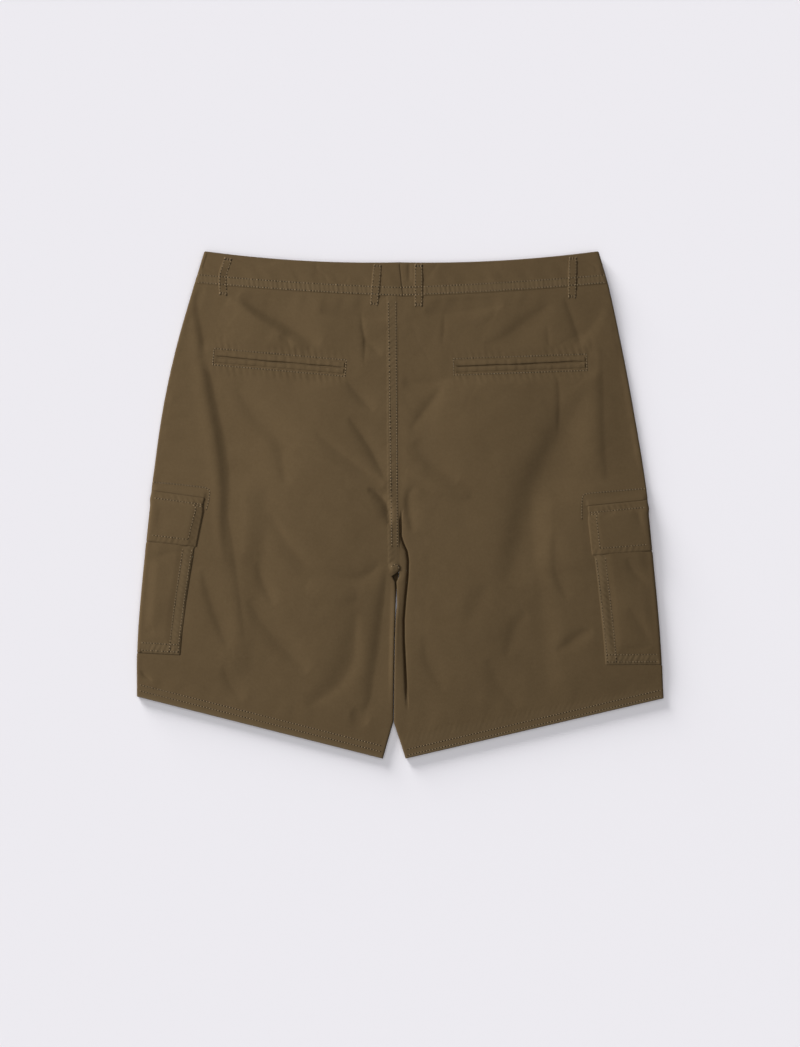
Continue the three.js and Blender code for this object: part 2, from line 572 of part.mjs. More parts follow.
function cargoFlap(side) {
  const { flapTop, flapHem, flapBack, front } = POCKETS[side];
  const sewn = flapTop - FLAP_SEWN;
  const free = flapTop - POCKET_MOUTH + FLAP_STEP;
  const rows = [flapTop, sewn, free, ...rowsBetween(side, free, flapHem), flapHem];
  const grid = (thickness) =>
    rows.map((sideY) => {
      const reach = mix(flapBack[0], flapBack[1], (flapTop - sideY) / (flapTop - flapHem));
      const offset = sideY >= sewn ? GAP : FLAP_IN;
      const under = outTo(front + FLAP_PAST, WRAP_STEPS).reverse();
      return around(section(side, sideY), offset + thickness, outTo(reach, WRAP_STEPS), under);
    });
  return wallBetween(grid(FLAP_CLOTH), grid(0));
}

// Half of the waistband, from the centre back round the side to the centre front
function waistband(side) {
  const top = WAIST_TOP[side];
  const foot = WAIST_SEAM[side] + 2 * GAP;
  // Share of the band's height, and how far its rounded edges fall back
  const profile = [
    { share: 0, back: 0.4 },
    { share: 0.05, back: 0 },
    { share: 0.5, back: 0 },
    { share: 0.93, back: 0 },
    { share: 1, back: 0.7 },
  ];
  const grid = (offset, rounded) =>
    profile.map(({ share, back }) => {
      const sec = section(side, mix(foot, top, share), "band", BAND_RISE);
      const reach = outTo(sec.width, BAND_STEPS);
      return around(sec, offset - (rounded ? back : 0), reach, [...reach].reverse());
    });
  return wallBetween(grid(BAND_RISE, true), grid(-CLOTH, false));
}

// Height of a mesh's upper face (sign 1) or lower face (sign -1) at a point
const FAR = 50;
function surfaceHeight(mesh, x, y, sign = 1) {
  const ray = new THREE.Raycaster(new THREE.Vector3(x, y, sign * FAR), new THREE.Vector3(0, 0, -sign));
  const hit = ray.intersectObject(mesh)[0];
  return hit ? hit.point.z : null;
}

// A flat strip that follows a line of stations, each with its middle, half width across and two heights
function strip(stations) {
  const grid = (key) =>
    stations.map(({ middle, across, ...heights }) =>
      [-1, 1].map((s) => new THREE.Vector3(middle.x + s * across.x, middle.y + s * across.y, heights[key])),
    );
  return wallBetween(grid("outer"), grid("inner"));
}

// One lip of a jetted pocket, laid on the back panel
function weltLip(side, upper, panelMesh) {
  const { x0, y0, x1, y1 } = WELTS[side];
  const along = new THREE.Vector2(x1 - x0, y1 - y0).normalize();
  const across = new THREE.Vector2(-along.y, along.x).multiplyScalar(along.x < 0 ? -1 : 1);
  const away = (upper ? 1 : -1) * (LIP_WIDTH / 2 + GAP);
  const stations = Array.from({ length: LIP_STEPS + 1 }, (_, n) => {
    const onSlit = new THREE.Vector2(mix(x0, x1, n / LIP_STEPS), mix(y0, y1, n / LIP_STEPS));
    const middle = onSlit.addScaledVector(across, away);
    const half = across.clone().multiplyScalar(LIP_WIDTH / 2);
    const edges = [-1, 0, 1].map((s) => surfaceHeight(panelMesh, middle.x + s * half.x, middle.y + s * half.y));
    const inner = Math.max(...edges) + GAP;
    return { middle, across: half, inner, outer: inner + LIP_CLOTH };
  });
  return strip(stations);
}

// A belt loop, sewn on at its ends and standing off the waistband between them; a front one is pressed flatter
function beltLoop({ topX, topY, footX, footY }, under, sign) {
  const spring = sign > 0 ? 1 : PRESSED;
  const top = new THREE.Vector2(topX, topY);
  const foot = new THREE.Vector2(footX, footY);
  const across = foot.clone().sub(top).rotateAround(new THREE.Vector2(), Math.PI / 2).setLength(LOOP_WIDTH / 2);
  const stations = LOOP_ARCH.map(({ along, rise }) => {
    const middle = top.clone().lerp(foot, along);
    const heights = [-1, 0, 1].flatMap((s) =>
      under.map((mesh) => surfaceHeight(mesh, middle.x + s * across.x, middle.y + s * across.y, sign)),
    );
    const cloth = sign * Math.max(...heights.filter((z) => z !== null).map((z) => sign * z));
    const inner = cloth + sign * (GAP + spring * rise);
    return { middle, across, inner, outer: inner + sign * LOOP_CLOTH };
  });
  return strip(stations);
}

// The closed zip, behind the fly on the inside of the front
function flyZip(frontLeft, frontRight) {
  const stations = Array.from({ length: ZIP.steps + 1 }, (_, n) => {
    const y = mix(ZIP.top, ZIP.foot, n / ZIP.steps);
    const x = straight(CENTRE_LINE.front, "y", "left", y);
    const half = ZIP.width / 2;
    const over = Math.max(surfaceHeight(frontLeft, x - half, y), surfaceHeight(frontRight, x + half, y));
    const inner = over + GAP;
    const middle = new THREE.Vector2(x, y);
    return { middle, across: new THREE.Vector2(half, 0), inner, outer: inner + ZIP.cloth };
  });
  return strip(stations);
}

// The four-hole waist button, face down on the table
function waistButton() {
  const disc = new THREE.Shape().absarc(0, 0, BUTTON.radius, 0, 2 * Math.PI);
  for (const [sx, sy] of [[-1, -1], [-1, 1], [1, -1], [1, 1]]) {
    const hole = new THREE.Path();
    hole.absarc(sx * BUTTON.holeAway, sy * BUTTON.holeAway, BUTTON.holeRadius, 0, 2 * Math.PI, true);
    disc.holes.push(hole);
  }
  const extrusion = { depth: BUTTON.cloth, bevelEnabled: false, curveSegments: 10 };
  return new THREE.ExtrudeGeometry(disc, extrusion).translate(BUTTON.x, BUTTON.y, 0);
}

const TWILL = { color: 0x5f4f39, roughness: 0.92, metalness: 0 };
const shorts = new THREE.Group();

function add(name, geometry, finish = TWILL) {
  const mesh = new THREE.Mesh(geometry, new THREE.MeshStandardMaterial({ ...finish, side: THREE.DoubleSide }));
  mesh.name = name;
  shorts.add(mesh);
  return mesh;
}

const backs = {};
const fronts = {};
const bands = {};
for (const side of SIDES) {
  backs[side] = add(`back_${side}`, panel(side, "back"));
  fronts[side] = add(`front_${side}`, panel(side, "front"));
  bands[side] = add(`waistband_${side}`, waistband(side));
  add(`cargo_pocket_${side}`, cargoPocket(side));
  add(`cargo_flap_${side}`, cargoFlap(side));
  add(`welt_${side}_upper`, weltLip(side, true, backs[side]));
  add(`welt_${side}_lower`, weltLip(side, false, backs[side]));
}
for (const loop of BACK_LOOPS) {
  add(loop.name, beltLoop(loop, [...Object.values(backs), ...Object.values(bands)], 1));
}
for (const loop of FRONT_LOOPS) {
  add(loop.name, beltLoop(loop, [...Object.values(fronts), ...Object.values(bands)], -1));
}
add("fly_zip", flyZip(fronts.left, fronts.right), { color: 0x4b4136, roughness: 0.7, metalness: 0.1 });
add("waist_button", waistButton(), { color: 0x3b3128, roughness: 0.45, metalness: 0 });

export default shorts;
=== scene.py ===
"""Cargo shorts laid flat with the back up: thin cloth shells with folds, seams and stitching over the solids.

Sizes are in millimetres in the part's frame (+X right, +Y to the waist, +Z up). The meshes are in metres.
"""

import json
import math

import bpy
import numpy as np
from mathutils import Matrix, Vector
from mathutils.bvhtree import BVHTree

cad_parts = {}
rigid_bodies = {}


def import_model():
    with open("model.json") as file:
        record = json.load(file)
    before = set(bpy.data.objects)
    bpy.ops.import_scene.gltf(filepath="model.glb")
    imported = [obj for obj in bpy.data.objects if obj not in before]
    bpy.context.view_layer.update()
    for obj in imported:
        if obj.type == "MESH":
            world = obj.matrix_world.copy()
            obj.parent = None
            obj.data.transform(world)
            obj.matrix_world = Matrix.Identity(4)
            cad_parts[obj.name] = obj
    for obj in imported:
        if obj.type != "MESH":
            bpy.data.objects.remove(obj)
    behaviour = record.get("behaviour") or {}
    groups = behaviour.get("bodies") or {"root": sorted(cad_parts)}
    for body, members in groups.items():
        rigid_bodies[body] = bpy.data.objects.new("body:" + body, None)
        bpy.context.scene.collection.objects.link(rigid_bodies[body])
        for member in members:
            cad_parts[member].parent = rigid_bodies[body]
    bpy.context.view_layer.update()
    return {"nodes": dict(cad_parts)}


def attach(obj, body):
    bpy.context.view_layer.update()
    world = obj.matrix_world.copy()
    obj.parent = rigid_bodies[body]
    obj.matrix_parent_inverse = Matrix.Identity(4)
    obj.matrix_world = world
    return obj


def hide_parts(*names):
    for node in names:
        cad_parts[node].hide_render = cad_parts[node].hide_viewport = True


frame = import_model()

MM = 0.001
SIGN = {"left": -1.0, "right": 1.0}
SIDES = ("left", "right")

# Cloth and clearances, as in the solids
CLOTH = 1.2
BAND_RISE = 0.8
POCKET_CLOTH = 1.4
FLAP_CLOTH = 1.2
GAP = 0.3
SEAM_WIDTH = 11.2
TURN = 2.5
LAID = 2 * TURN + GAP
POCKET_OUT = GAP + POCKET_CLOTH
FLAP_OUT = POCKET_OUT + GAP + FLAP_CLOTH
SEWN_OUT = GAP + FLAP_CLOTH  # outer face of the flap's sewn strip above the panel
WAIST_LIFT = 3.3
WAIST_LIFT_FADE = 62
LEVEL_PAST = 3
FADE_PAST = 26
DEEPEST = -3.3  # limits of the folds
HIGHEST = 5.0

# The outline at the side seams: height, half width to the left and to the right
SIDE_SEAM = {
    "y": [-203, -160, -120, -55, 25, 100, 165, 230, 266],
    "left": [276.6, 276.6, 274.7, 268.7, 260.0, 249.4, 235.4, 216.6, 205.7],
    "right": [276.6, 274.6, 271.8, 265.7, 257.3, 245.0, 232.8, 218.5, 208.3],
}

# The centre line of each face: inner edges of the legs, the slit under the crotch, then the seam
CENTRE_LINE = {
    "back": {
        "y": [-266, -228, -180, -140, -121, -105, -90, -81, -75, -70, 30, 218, 255],
        "left": [-18.1, -7.3, -6.7, -6.0, -5.4, -4.9, -4.7, -5.2, -8.6, -1.2, -2.2, -2.7, -0.2],
        "right": [5.5, -6.9, -6.3, -5.6, -5.0, -3.3, -3.6, -4.0, -0.9, -0.9, -1.9, -2.4, 0.1],
    },
    "front": {
        "y": [-266, -228, -180, -140, -121, -105, -90, -70, 30, 218, 255],
        "left": [-18.1, -7.3, -6.7, -6.0, -5.4, -4.9, -4.1, -1.2, -2.2, -2.7, -0.2],
        "right": [5.5, -6.9, -6.3, -5.6, -5.0, -3.3, -3.8, -0.9, -1.9, -2.4, 0.1],
    },
    "band": {"y": [218, 255], "left": [2.7, -1.1], "right": [3.0, -0.8]},
}

# Sections across the shorts, from the waist down, where they meet the centre line and the side seams
SECTIONS = {
    "name": ["waist top", "waist seam", "flap top", "crotch", "slit 1", "slit 2", "slit 3", "slit 4",
             "slit foot", "pocket bottom", "hem stitching", "hem"],
    "centre": [254.3, 217.6, -21, -70, -75, -81, -90, -105, -121, -170, -252, -265.9],
    "left": [265.9, 231.4, 15, -39, -46, -54, -66, -82, -100, -155.5, -188, -200.6],
    "right": [265.9, 231.0, 5, -49, -56, -63, -75, -92, -111, -167.8, -193, -202.5],
    "bow": [4.0, 1.4, 0, 0, 0, 0, 0, 0, 0, 0, 0, 0],
}
WAIST_TOP, WAIST_SEAM, HEM = 0, 1, 11
CROTCH = -70

POCKETS = {
    "left": dict(flap_top=15, flap_hem=-39, bottom=-155.5,
                 flap_back=(55.5, 50.5), body_back=(51.5, 44), front=95),
    "right": dict(flap_top=5, flap_hem=-49, bottom=-167.8,
                  flap_back=(62.3, 61.4), body_back=(60.5, 58), front=95),
}
POCKET_MOUTH = 15
FLAP_SEWN = 8
# The columns of the tables of folds. A fold goes from its line down or up to the height, falling off over one
# width to the left of the way along its path and over another to its right. A crisp fold has a sharp line in
# its middle, a soft one is round.
FOLD_COLUMNS = ("name", "height", "left", "right", "crisp", "path")


def fold_rows(rows):
    return [dict(zip(FOLD_COLUMNS, row)) for row in rows]


POCKET_FOLDS = {
    "left": fold_rows([
        ("under the mouth", -0.7, 5, 6, 0.4, [(-268, -52), (-256, -55), (-242, -50), (-228, -51)]),
        ("at the foot", -0.6, 4, 6, 0.4, [(-272, -140), (-266, -134), (-258, -131)]),
        ("swell", 0.5, 12, 12, 0, [(-262, -75), (-256, -100), (-260, -128)]),
    ]),
    "right": fold_rows([
        ("along the inner edge", -1.2, 12, 6, 0.3, [(217, -78), (221, -105), (223, -130), (226, -152)]),
        ("upper slant", -1.2, 7, 6, 0.5, [(238, -56), (245, -70), (256, -80), (266, -82)]),
        ("lower slant", -1.0, 7, 8, 0.4, [(240, -108), (250, -122), (258, -136), (264, -146)]),
        ("at the foot", -0.8, 4, 4, 0.7, [(222, -150), (240, -151), (256, -150), (268, -146)]),
    ]),
}
FLAP_FOLDS = {
    "left": fold_rows([("hollow", -0.5, 8, 8, 0, [(-256, -2), (-250, -16), (-252, -30)])]),
    "right": fold_rows([
        ("slant", -0.8, 8, 6, 0.4, [(246, -4), (252, -14), (262, -22)]),
        ("at the corner", -0.6, 4, 4, 0.5, [(206, -10), (214, -11), (226, -6)]),
    ]),
}

# Jetted back pockets: the ends of each slit, outer end first
WELTS = {
    "left": dict(x0=-194, y0=155.4, x1=-59.5, y1=143.6),
    "right": dict(x0=193.6, y0=149.5, x1=58.2, y1=144.8),
}
LIP_WIDTH = 5.8
LIP_CLOTH = 1.0
LIP_SUNK = 0.15  # the lips are pressed this far into the panel
# How far each lip stands back from the slit, along the slit from its left end
WELT_GAPE = {
    "left": {"along": [0, 0.06, 0.18, 0.4, 0.52, 0.75, 0.9, 1],
             "open": [0.3, 0.9, 0.5, 0.1, 0.6, 0.3, 0.7, 0.2]},
    "right": {"along": [0, 0.1, 0.3, 0.42, 0.55, 0.75, 0.93, 1],
              "open": [0.5, 0.2, 0.6, 0.1, 0.6, 0.9, 1.5, 0.3]},
}

# Belt loops: top, foot and the face that they are sewn to
LOOP_WIDTH = 10.4
LOOP_CLOTH = 1.2
LOOPS = [
    dict(name="belt_loop_back_left_side", top=(-180.5, 259.2), foot=(-186.0, 219.4), face=1,
         bend=-2.6, tilt=0.9),
    dict(name="belt_loop_back_left_centre", top=(-23.6, 252.2), foot=(-27.6, 208.6), face=1),
    dict(name="belt_loop_back_right_centre", top=(19.2, 252.4), foot=(19.2, 207.6), face=1),
    dict(name="belt_loop_back_right_side", top=(181.2, 260.2), foot=(180.2, 216.2), face=1),
    dict(name="belt_loop_front_left", top=(-108, 254.5), foot=(-108, 212), face=-1),
    dict(name="belt_loop_front_right", top=(108, 254.5), foot=(108, 212), face=-1),
]
LOOP_SUNK = 0.9  # the loops are pressed into the cloth under them
LOOP_ARCH = {"along": [0, 0.09, 0.22, 0.42, 0.62, 0.78, 0.9, 1], "rise": [0, 0, 0.3, 0.45, 0.45, 0.25, 0, 0]}

# The folds and creases of the back
FOLDS = fold_rows([
    ("left side drape", -3.0, 38, 8.5, 0.85,
     [(-216, 226), (-210.5, 196), (-205, 163), (-198, 132), (-190, 95), (-183, 62), (-179, 25), (-180, -12),
      (-174, -52), (-170, -84), (-166, -114), (-163, -142)]),
    ("left side roll", 1.5, 7, 9, 0,
     [(-221, 214), (-212, 165), (-205, 115), (-196, 66), (-191, 20), (-190, -20), (-186, -60)]),
    ("left yoke drape", 3.4, 8, 28, 0.8,
     [(-180, 217), (-165, 207), (-151, 195), (-134, 185), (-114, 171), (-96, 164)]),
    ("left yoke hollow", -2.9, 20, 8, 0.4,
     [(-168, 219), (-154, 209), (-139, 200), (-120, 190), (-102, 178), (-84, 168)]),
    ("left yoke tuck", -1.6, 5, 4, 0.8, [(-127, 177), (-118, 172), (-114, 165)]),
    ("left waist tuck", -1.9, 14, 5, 0.5, [(-84, 203), (-62, 200), (-40, 196.5), (-14, 196)]),
    ("left pleat", -1.1, 4, 2.5, 0.9, [(-41, 203), (-40, 188), (-37, 172), (-38, 148)]),
    ("left seam tuck", -1.3, 8, 5, 0.6, [(-37, 176), (-30, 166), (-20, 157)]),
    ("left seat fold 1", -2.0, 16, 9, 0.3, [(-172, 124), (-152, 92), (-128, 68), (-120, 20)]),
    ("left seat fold 2", -2.4, 9, 13, 0.3,
     [(-138, -8), (-119, -40), (-100, -62), (-80, -73), (-58, -78), (-38, -77), (-20, -60)]),
    ("left crotch swell", 1.8, 12, 10, 0, [(-98, -84), (-72, -94), (-46, -96)]),
    ("left thigh fold 1", -2.6, 20, 9, 0.3, [(-160, -100), (-136, -132), (-111, -161), (-98, -176)]),
    ("left thigh fold 2", -1.9, 16, 6, 0.2, [(-208, -68), (-198, -100), (-188, -130), (-180, -150)]),
    ("left thigh fold 3", -1.3, 12, 6, 0.3, [(-186, -168), (-178, -188), (-166, -206)]),
    ("left thigh fold 4", -1.5, 10, 6, 0.3, [(-150, -60), (-142, -86), (-132, -106)]),
    ("left hem swag", -2.4, 9, 14, 0.3, [(-46, -112), (-48, -140), (-52, -167), (-70, -193), (-98, -212)]),
    ("left inseam valley", -2.9, 24, 8, 0.5,
     [(-14, -66), (-16.5, -100), (-19.5, -130), (-22.5, -155), (-27, -179), (-31, -204), (-39, -220)]),
    ("left hem hollow", -1.2, 9, 9, 0.2, [(-52, -218), (-44, -222), (-34, -229)]),
    ("left crotch crease", -3.8, 4, 6, 0.7, [(-34, 17), (-25, 13), (-17, 6), (-12.5, -5), (-11, -24)]),
    ("left seam fold 1", -1.8, 10, 6, 0.5, [(-58, 132), (-44, 116), (-28, 98)]),
    ("left seam fold 2", -2.2, 12, 6, 0.5, [(-54, 92), (-33, 63), (-15, 26)]),
    ("left seam fold 3", -1.9, 6, 10, 0.4, [(-88, 75), (-50, 44), (-18, 21)]),
    ("left welt fold", -1.4, 6, 8, 0.3, [(-150, 142), (-120, 134), (-84, 132), (-62, 138)]),
    ("left hem corner", -1.2, 2.2, 2.2, 0.7, [(-275, -172), (-269, -178.5), (-261, -185)]),
    ("right waist tuck", -2.2, 15, 6, 0.5, [(26, 203), (48, 201), (76, 205), (108, 210)]),
    ("right pleat 1", -0.6, 4, 2.5, 0.8, [(46, 202), (46, 186), (44, 168)]),
    ("right pleat 2", -0.5, 4, 2.5, 0.8, [(154, 190), (155, 178), (156, 165)]),
    ("right yoke drape", -1.9, 18, 8, 0.1, [(158, 211), (146, 201), (128, 187), (108, 173), (88, 167)]),
    ("right hip fold 1", -1.1, 9, 4, 0.6, [(172, 218), (180, 198), (187, 178), (190, 165)]),
    ("right hip fold 2", -1.3, 7, 14, 0.3, [(213, 206), (203, 191), (188, 174), (180, 162)]),
    ("right side drape", -1.7, 30, 7, 0.3, [(212, 166), (214, 120), (215, 80), (218, 24)]),
    ("right welt crease", -0.9, 7, 3, 0.6, [(165, 137), (167, 115), (167, 95), (166, 74)]),
    ("right seat slope", -4.0, 30, 19, 0.15,
     [(200, 122), (184, 96), (168, 68), (154, 36), (143, 8), (132, -24), (124, -52), (110, -84)]),
    ("right seam fold 1", -1.5, 8, 9, 0.5, [(58, 136), (40, 129), (20, 127), (-1, 127)]),
    ("right seam fold 2", -1.6, 10, 6, 0.5, [(44, 124), (30, 104), (11, 79)]),
    ("right seat hollow", -1.8, 14, 9, 0.2, [(14, 66), (34, 44), (60, 24)]),
    ("right seat ridge", 2.0, 9, 7, 0.4, [(6, 37), (26, 26), (46, 16), (74, 8)]),
    ("right crotch hollow", -1.7, 8, 6, 0.3, [(16, 19), (9, 10), (10, -8), (13, -30)]),
    ("right thigh fold 1", -1.6, 12, 6, 0.3, [(162, -30), (163, -54), (166, -76), (176, -100)]),
    ("right thigh fold 2", -1.1, 12, 12, 0.1, [(92, -84), (80, -106), (66, -128)]),
    ("right thigh fold 3", -1.2, 14, 7, 0.2, [(26, -138), (28, -156), (36, -178), (46, -196)]),
    ("right thigh fold 4", -1.6, 6, 9, 0.3, [(164, -154), (176, -147), (190, -136), (202, -131)]),
    ("right thigh fold 5", -1.0, 10, 8, 0.1, [(132, -110), (120, -132), (112, -160)]),
    ("right hem fold", -1.2, 14, 9, 0.1, [(92, -162), (104, -186), (124, -214)]),
])

# The broad swells and hollows of the back: middle, reach across and along, height
SWELLS = [
    dict(x=-88, y=-18, across_x=62, along_y=118, height=3.6),
    dict(x=-96, y=190, across_x=55, along_y=32, height=1.4),
    dict(x=104, y=92, across_x=56, along_y=66, height=4.6),
    dict(x=66, y=-126, across_x=52, along_y=74, height=2.8),
    dict(x=206, y=84, across_x=26, along_y=80, height=2.6),
]

# The deep crease beside the crotch and down the right leg: its line, and the share of its depth
CREASE = {
    "y": [-266, -218, -207, -196, -169, -142, -122, -99, -82, -75, -60, -50, -41, -33, -18, -5, 20, 218],
    "x": [9, 8.6, 8.2, 7.6, 6.7, 5.4, 5.2, 7.0, 8.8, 9.4, 9.9, 8.5, 4.6, 2.1, 1.6, 2.6, 4.6, 4.6],
    "share": [0, 0, 0.15, 0.5, 1, 1, 1, 1, 1, 1, 1, 1, 1, 0.9, 0.5, 0, 0, 0],
}
CREASE_PROFILE = {
    "from": [-8, -4.5, -2.4, -1.8, 0.3, 0.7, 1.6, 4.5, 11, 20],
    "height": [0, -0.5, -1.5, -4.4, -4.5, 0.1, 0.5, 0.6, 0.3, 0],
    "over": [0, 0, 0, 0, 0, 1.1, 0.9, 0, 0, 0],
}


# Small mathematics
def ease(t):
    t = np.clip(t, 0.0, 1.0)
    return t * t * (3 - 2 * t)


def column(table, key, name, at):
    """A column of a table at values of its key column, along straight lines."""
    keys, values = np.array(table[key], float), np.array(table[name], float)
    order = np.argsort(keys)
    return np.interp(at, keys[order], values[order])


def smooth_column(table, key, name, at):
    """The same along a smooth curve through the rows."""
    k, v = np.array(table[key], float), np.array(table[name], float)
    slope = np.empty(len(k))
    slope[1:-1] = (v[2:] - v[:-2]) / (k[2:] - k[:-2])
    slope[0], slope[-1] = (v[1] - v[0]) / (k[1] - k[0]), (v[-1] - v[-2]) / (k[-1] - k[-2])
    i = np.clip(np.searchsorted(k, at, side="right") - 1, 0, len(k) - 2)
    span = k[i + 1] - k[i]
    t = np.clip((at - k[i]) / span, 0, 1)
    m0, m1 = span * slope[i], span * slope[i + 1]
    return (v[i] + t * m0 + t**2 * (3 * (v[i + 1] - v[i]) - 2 * m0 - m1)
            + t**3 * (2 * (v[i] - v[i + 1]) + m0 + m1))


def hump(at, middle, width):
    """A soft bell, 1 at its middle."""
    return np.exp(-((at - middle) / width) ** 2)


def ripple(along, pitch, seed):
    """An uneven wave from -1 to 1 with about the given pitch, the same every time for one seed."""
    rng = np.random.default_rng(seed)
    along = np.asarray(along, float)
    low, high = along.min() - 2 * pitch, along.max() + 2 * pitch
    count = int((high - low) / pitch * 2) + 4
    stations = low + (np.arange(count) + rng.uniform(-0.25, 0.25, count)) * pitch / 2
    values = np.where(np.arange(count) % 2 == 0, 1.0, -1.0) * rng.uniform(0.25, 1.0, count)
    i = np.clip(np.searchsorted(stations, along) - 1, 0, count - 2)
    t = ease((along - stations[i]) / (stations[i + 1] - stations[i]))
    return values[i] * (1 - t) + values[i + 1] * t


def wander(x, y, size, seed):
    """Smooth noise from -1 to 1 over the plan, with features of about the given size."""
    rng = np.random.default_rng(seed)
    cells = int(640 / size) + 4
    lattice = rng.uniform(-1, 1, (cells, cells))
    u, v = (np.asarray(x) + 310) / size, (np.asarray(y) + 310) / size
    i, j = np.clip(u.astype(int), 0, cells - 2), np.clip(v.astype(int), 0, cells - 2)
    s, t = ease(u - i), ease(v - j)
    low = lattice[i, j] * (1 - s) + lattice[i + 1, j] * s
    high = lattice[i, j + 1] * (1 - s) + lattice[i + 1, j + 1] * s
    return low * (1 - t) + high * t


def crumple(x, y, size, seed):
    """Thin crease lines that wander over the plan and come and go, 1 on a line and 0 away from it."""
    line = wander(x + 0.3 * size * wander(x, y, 0.6 * size, seed + 1), y, size, seed)
    return np.exp(-((line / 0.13) ** 2)) * ease(0.5 + 1.6 * wander(x, y, 1.7 * size, seed + 2))


def curve(points, step):
    """Points at about the given step along a smooth curve through some points of the plan."""
    points = np.asarray(points, float)
    along = np.concatenate([[0], np.cumsum(np.linalg.norm(np.diff(points, axis=0), axis=1))])
    at = np.linspace(0, along[-1], max(2, int(round(along[-1] / step))) + 1)
    return np.stack([smooth_column({"s": along, "v": points[:, k]}, "s", "v", at) for k in (0, 1)], axis=1)


# The plan of the shorts
def stack(side, side_y):
    """Thickness of the pocket and flap outside the panel at a height on the side seam."""
    p = POCKETS[side]
    top, hem, foot = p["flap_top"], p["flap_hem"], p["bottom"]
    stations = [top + 32, top, hem, hem - 22, foot, foot - 25]
    outs = [0, FLAP_OUT, FLAP_OUT, POCKET_OUT, POCKET_OUT, 0]
    total = np.zeros_like(side_y)
    for k in range(len(stations) - 1):
        inside = (side_y <= stations[k]) & (side_y > stations[k + 1])
        share = ease((stations[k] - side_y) / (stations[k] - stations[k + 1]))
        total = np.where(inside, outs[k] + (outs[k + 1] - outs[k]) * share, total)
    return total


def edge_inset(side, side_y):
    """How far the panel's turned edge lies inside the outline, under the pocket and flap."""
    p = POCKETS[side]
    top, hem, foot = p["flap_top"], p["flap_hem"], p["bottom"]
    stations = [foot - 1, foot + 1, hem - 1, hem + 1,
                top - POCKET_MOUTH, top - FLAP_SEWN, top - 1.3, top + 0.7]
    insets = [0, POCKET_OUT, POCKET_OUT, FLAP_OUT, FLAP_OUT, SEWN_OUT, SEWN_OUT, 0]
    return np.interp(side_y, stations, insets)


def section(side, side_y, inset=None, face="back"):
    """Sections of one half at heights on the side seam, as arrays with a last axis of 1 for the depths."""
    side_y = np.asarray(side_y, float).reshape(-1, 1)
    inset = edge_inset(side, side_y) if inset is None else inset
    centre_y = column(SECTIONS, side, "centre", side_y)
    start_x = SIGN[side] * (smooth_column(SIDE_SEAM, "y", side, side_y) - inset)
    end_x = column(CENTRE_LINE[face], "y", side, centre_y)
    dx, dy = end_x - start_x, centre_y - side_y
    width = np.hypot(dx, dy)
    return dict(side=side, side_y=side_y, centre_y=centre_y, x0=start_x, y0=side_y,
                ux=dx / width, uy=dy / width, width=width, bow=column(SECTIONS, side, "bow", side_y))


def plan(sec, depth):
    share = depth / sec["width"]
    x = sec["x0"] + sec["ux"] * depth
    y = sec["y0"] + sec["uy"] * depth - 4 * sec["bow"] * share * (1 - share)
    return x, y


def lift(sec, depth):
    """How far the front's outer face is lifted off the table by what lies under it."""
    waist = SECTIONS[sec["side"]][WAIST_SEAM]
    under_waist = WAIST_LIFT * ease(1 - (waist - sec["side_y"]) / WAIST_LIFT_FADE)
    past = (depth - POCKETS[sec["side"]]["front"] - LEVEL_PAST) / FADE_PAST
    return under_waist + stack(sec["side"], sec["side_y"]) * (1 - ease(past))


def one_fold(x, y, fold):
    """Height of one fold at points of the plan."""
    line = curve(fold["path"], 8)
    widest = 2.6 * max(fold["left"], fold["right"])
    low, high = line.min(axis=0) - widest, line.max(axis=0) + widest
    near = (x > low[0]) & (x < high[0]) & (y > low[1]) & (y < high[1])
    px, py = x[near], y[near]
    best = np.full(px.shape, 1e9)
    side = np.zeros_like(px)
    along = np.zeros_like(px)
    pieces = len(line) - 1
    for k in range(pieces):
        (ax, ay), (bx, by) = line[k], line[k + 1]
        dx, dy = bx - ax, by - ay
        t = np.clip(((px - ax) * dx + (py - ay) * dy) / (dx * dx + dy * dy), 0, 1)
        gap_x, gap_y = px - ax - dx * t, py - ay - dy * t
        away = np.hypot(gap_x, gap_y)
        closer = away < best
        best = np.where(closer, away, best)
        side = np.where(closer, dx * gap_y - dy * gap_x, side)
        along = np.where(closer, (k + t) / pieces, along)
    taper = np.sin(np.pi * along)
    width = np.where(side > 0, fold["left"], fold["right"]) * (0.3 + 0.7 * taper**0.6)
    power = 2 - 0.9 * fold["crisp"]
    total = np.zeros_like(x)
    total[near] = fold["height"] * np.exp(-((best / width) ** power)) * taper**0.7
    return total


def one_swell(x, y, swell):
    away = ((x - swell["x"]) / swell["across_x"]) ** 2 + ((y - swell["y"]) / swell["along_y"]) ** 2
    return swell["height"] * np.exp(-away)


def slit_ends(side):
    """The left and right end of a jetted pocket's slit."""
    w = WELTS[side]
    return [np.array(end, float) for end in sorted([(w["x0"], w["y0"]), (w["x1"], w["y1"])])]


def welt_frame(side, x, y):
    """Places of plan points along and across a jetted pocket's slit, from its middle, and its length."""
    start, end = slit_ends(side)
    mx, my = (start + end) / 2
    length = math.hypot(*(end - start))
    ax, ay = (end - start) / length
    return (x - mx) * ax + (y - my) * ay, -(x - mx) * ay + (y - my) * ax, length


def near_welt(side, x, y):
    along, across, length = welt_frame(side, x, y)
    away = np.hypot(np.maximum(np.abs(along) - length / 2, 0), across)
    return ease(1 - (away - 9) / 12)


def main_relief(x, y):
    """The folds and swells, kept between their limits."""
    total = sum(one_fold(x, y, fold) for fold in FOLDS) + sum(one_swell(x, y, swell) for swell in SWELLS)
    limit = np.where(total < 0, DEEPEST, HIGHEST)
    return limit * np.tanh(total / limit)


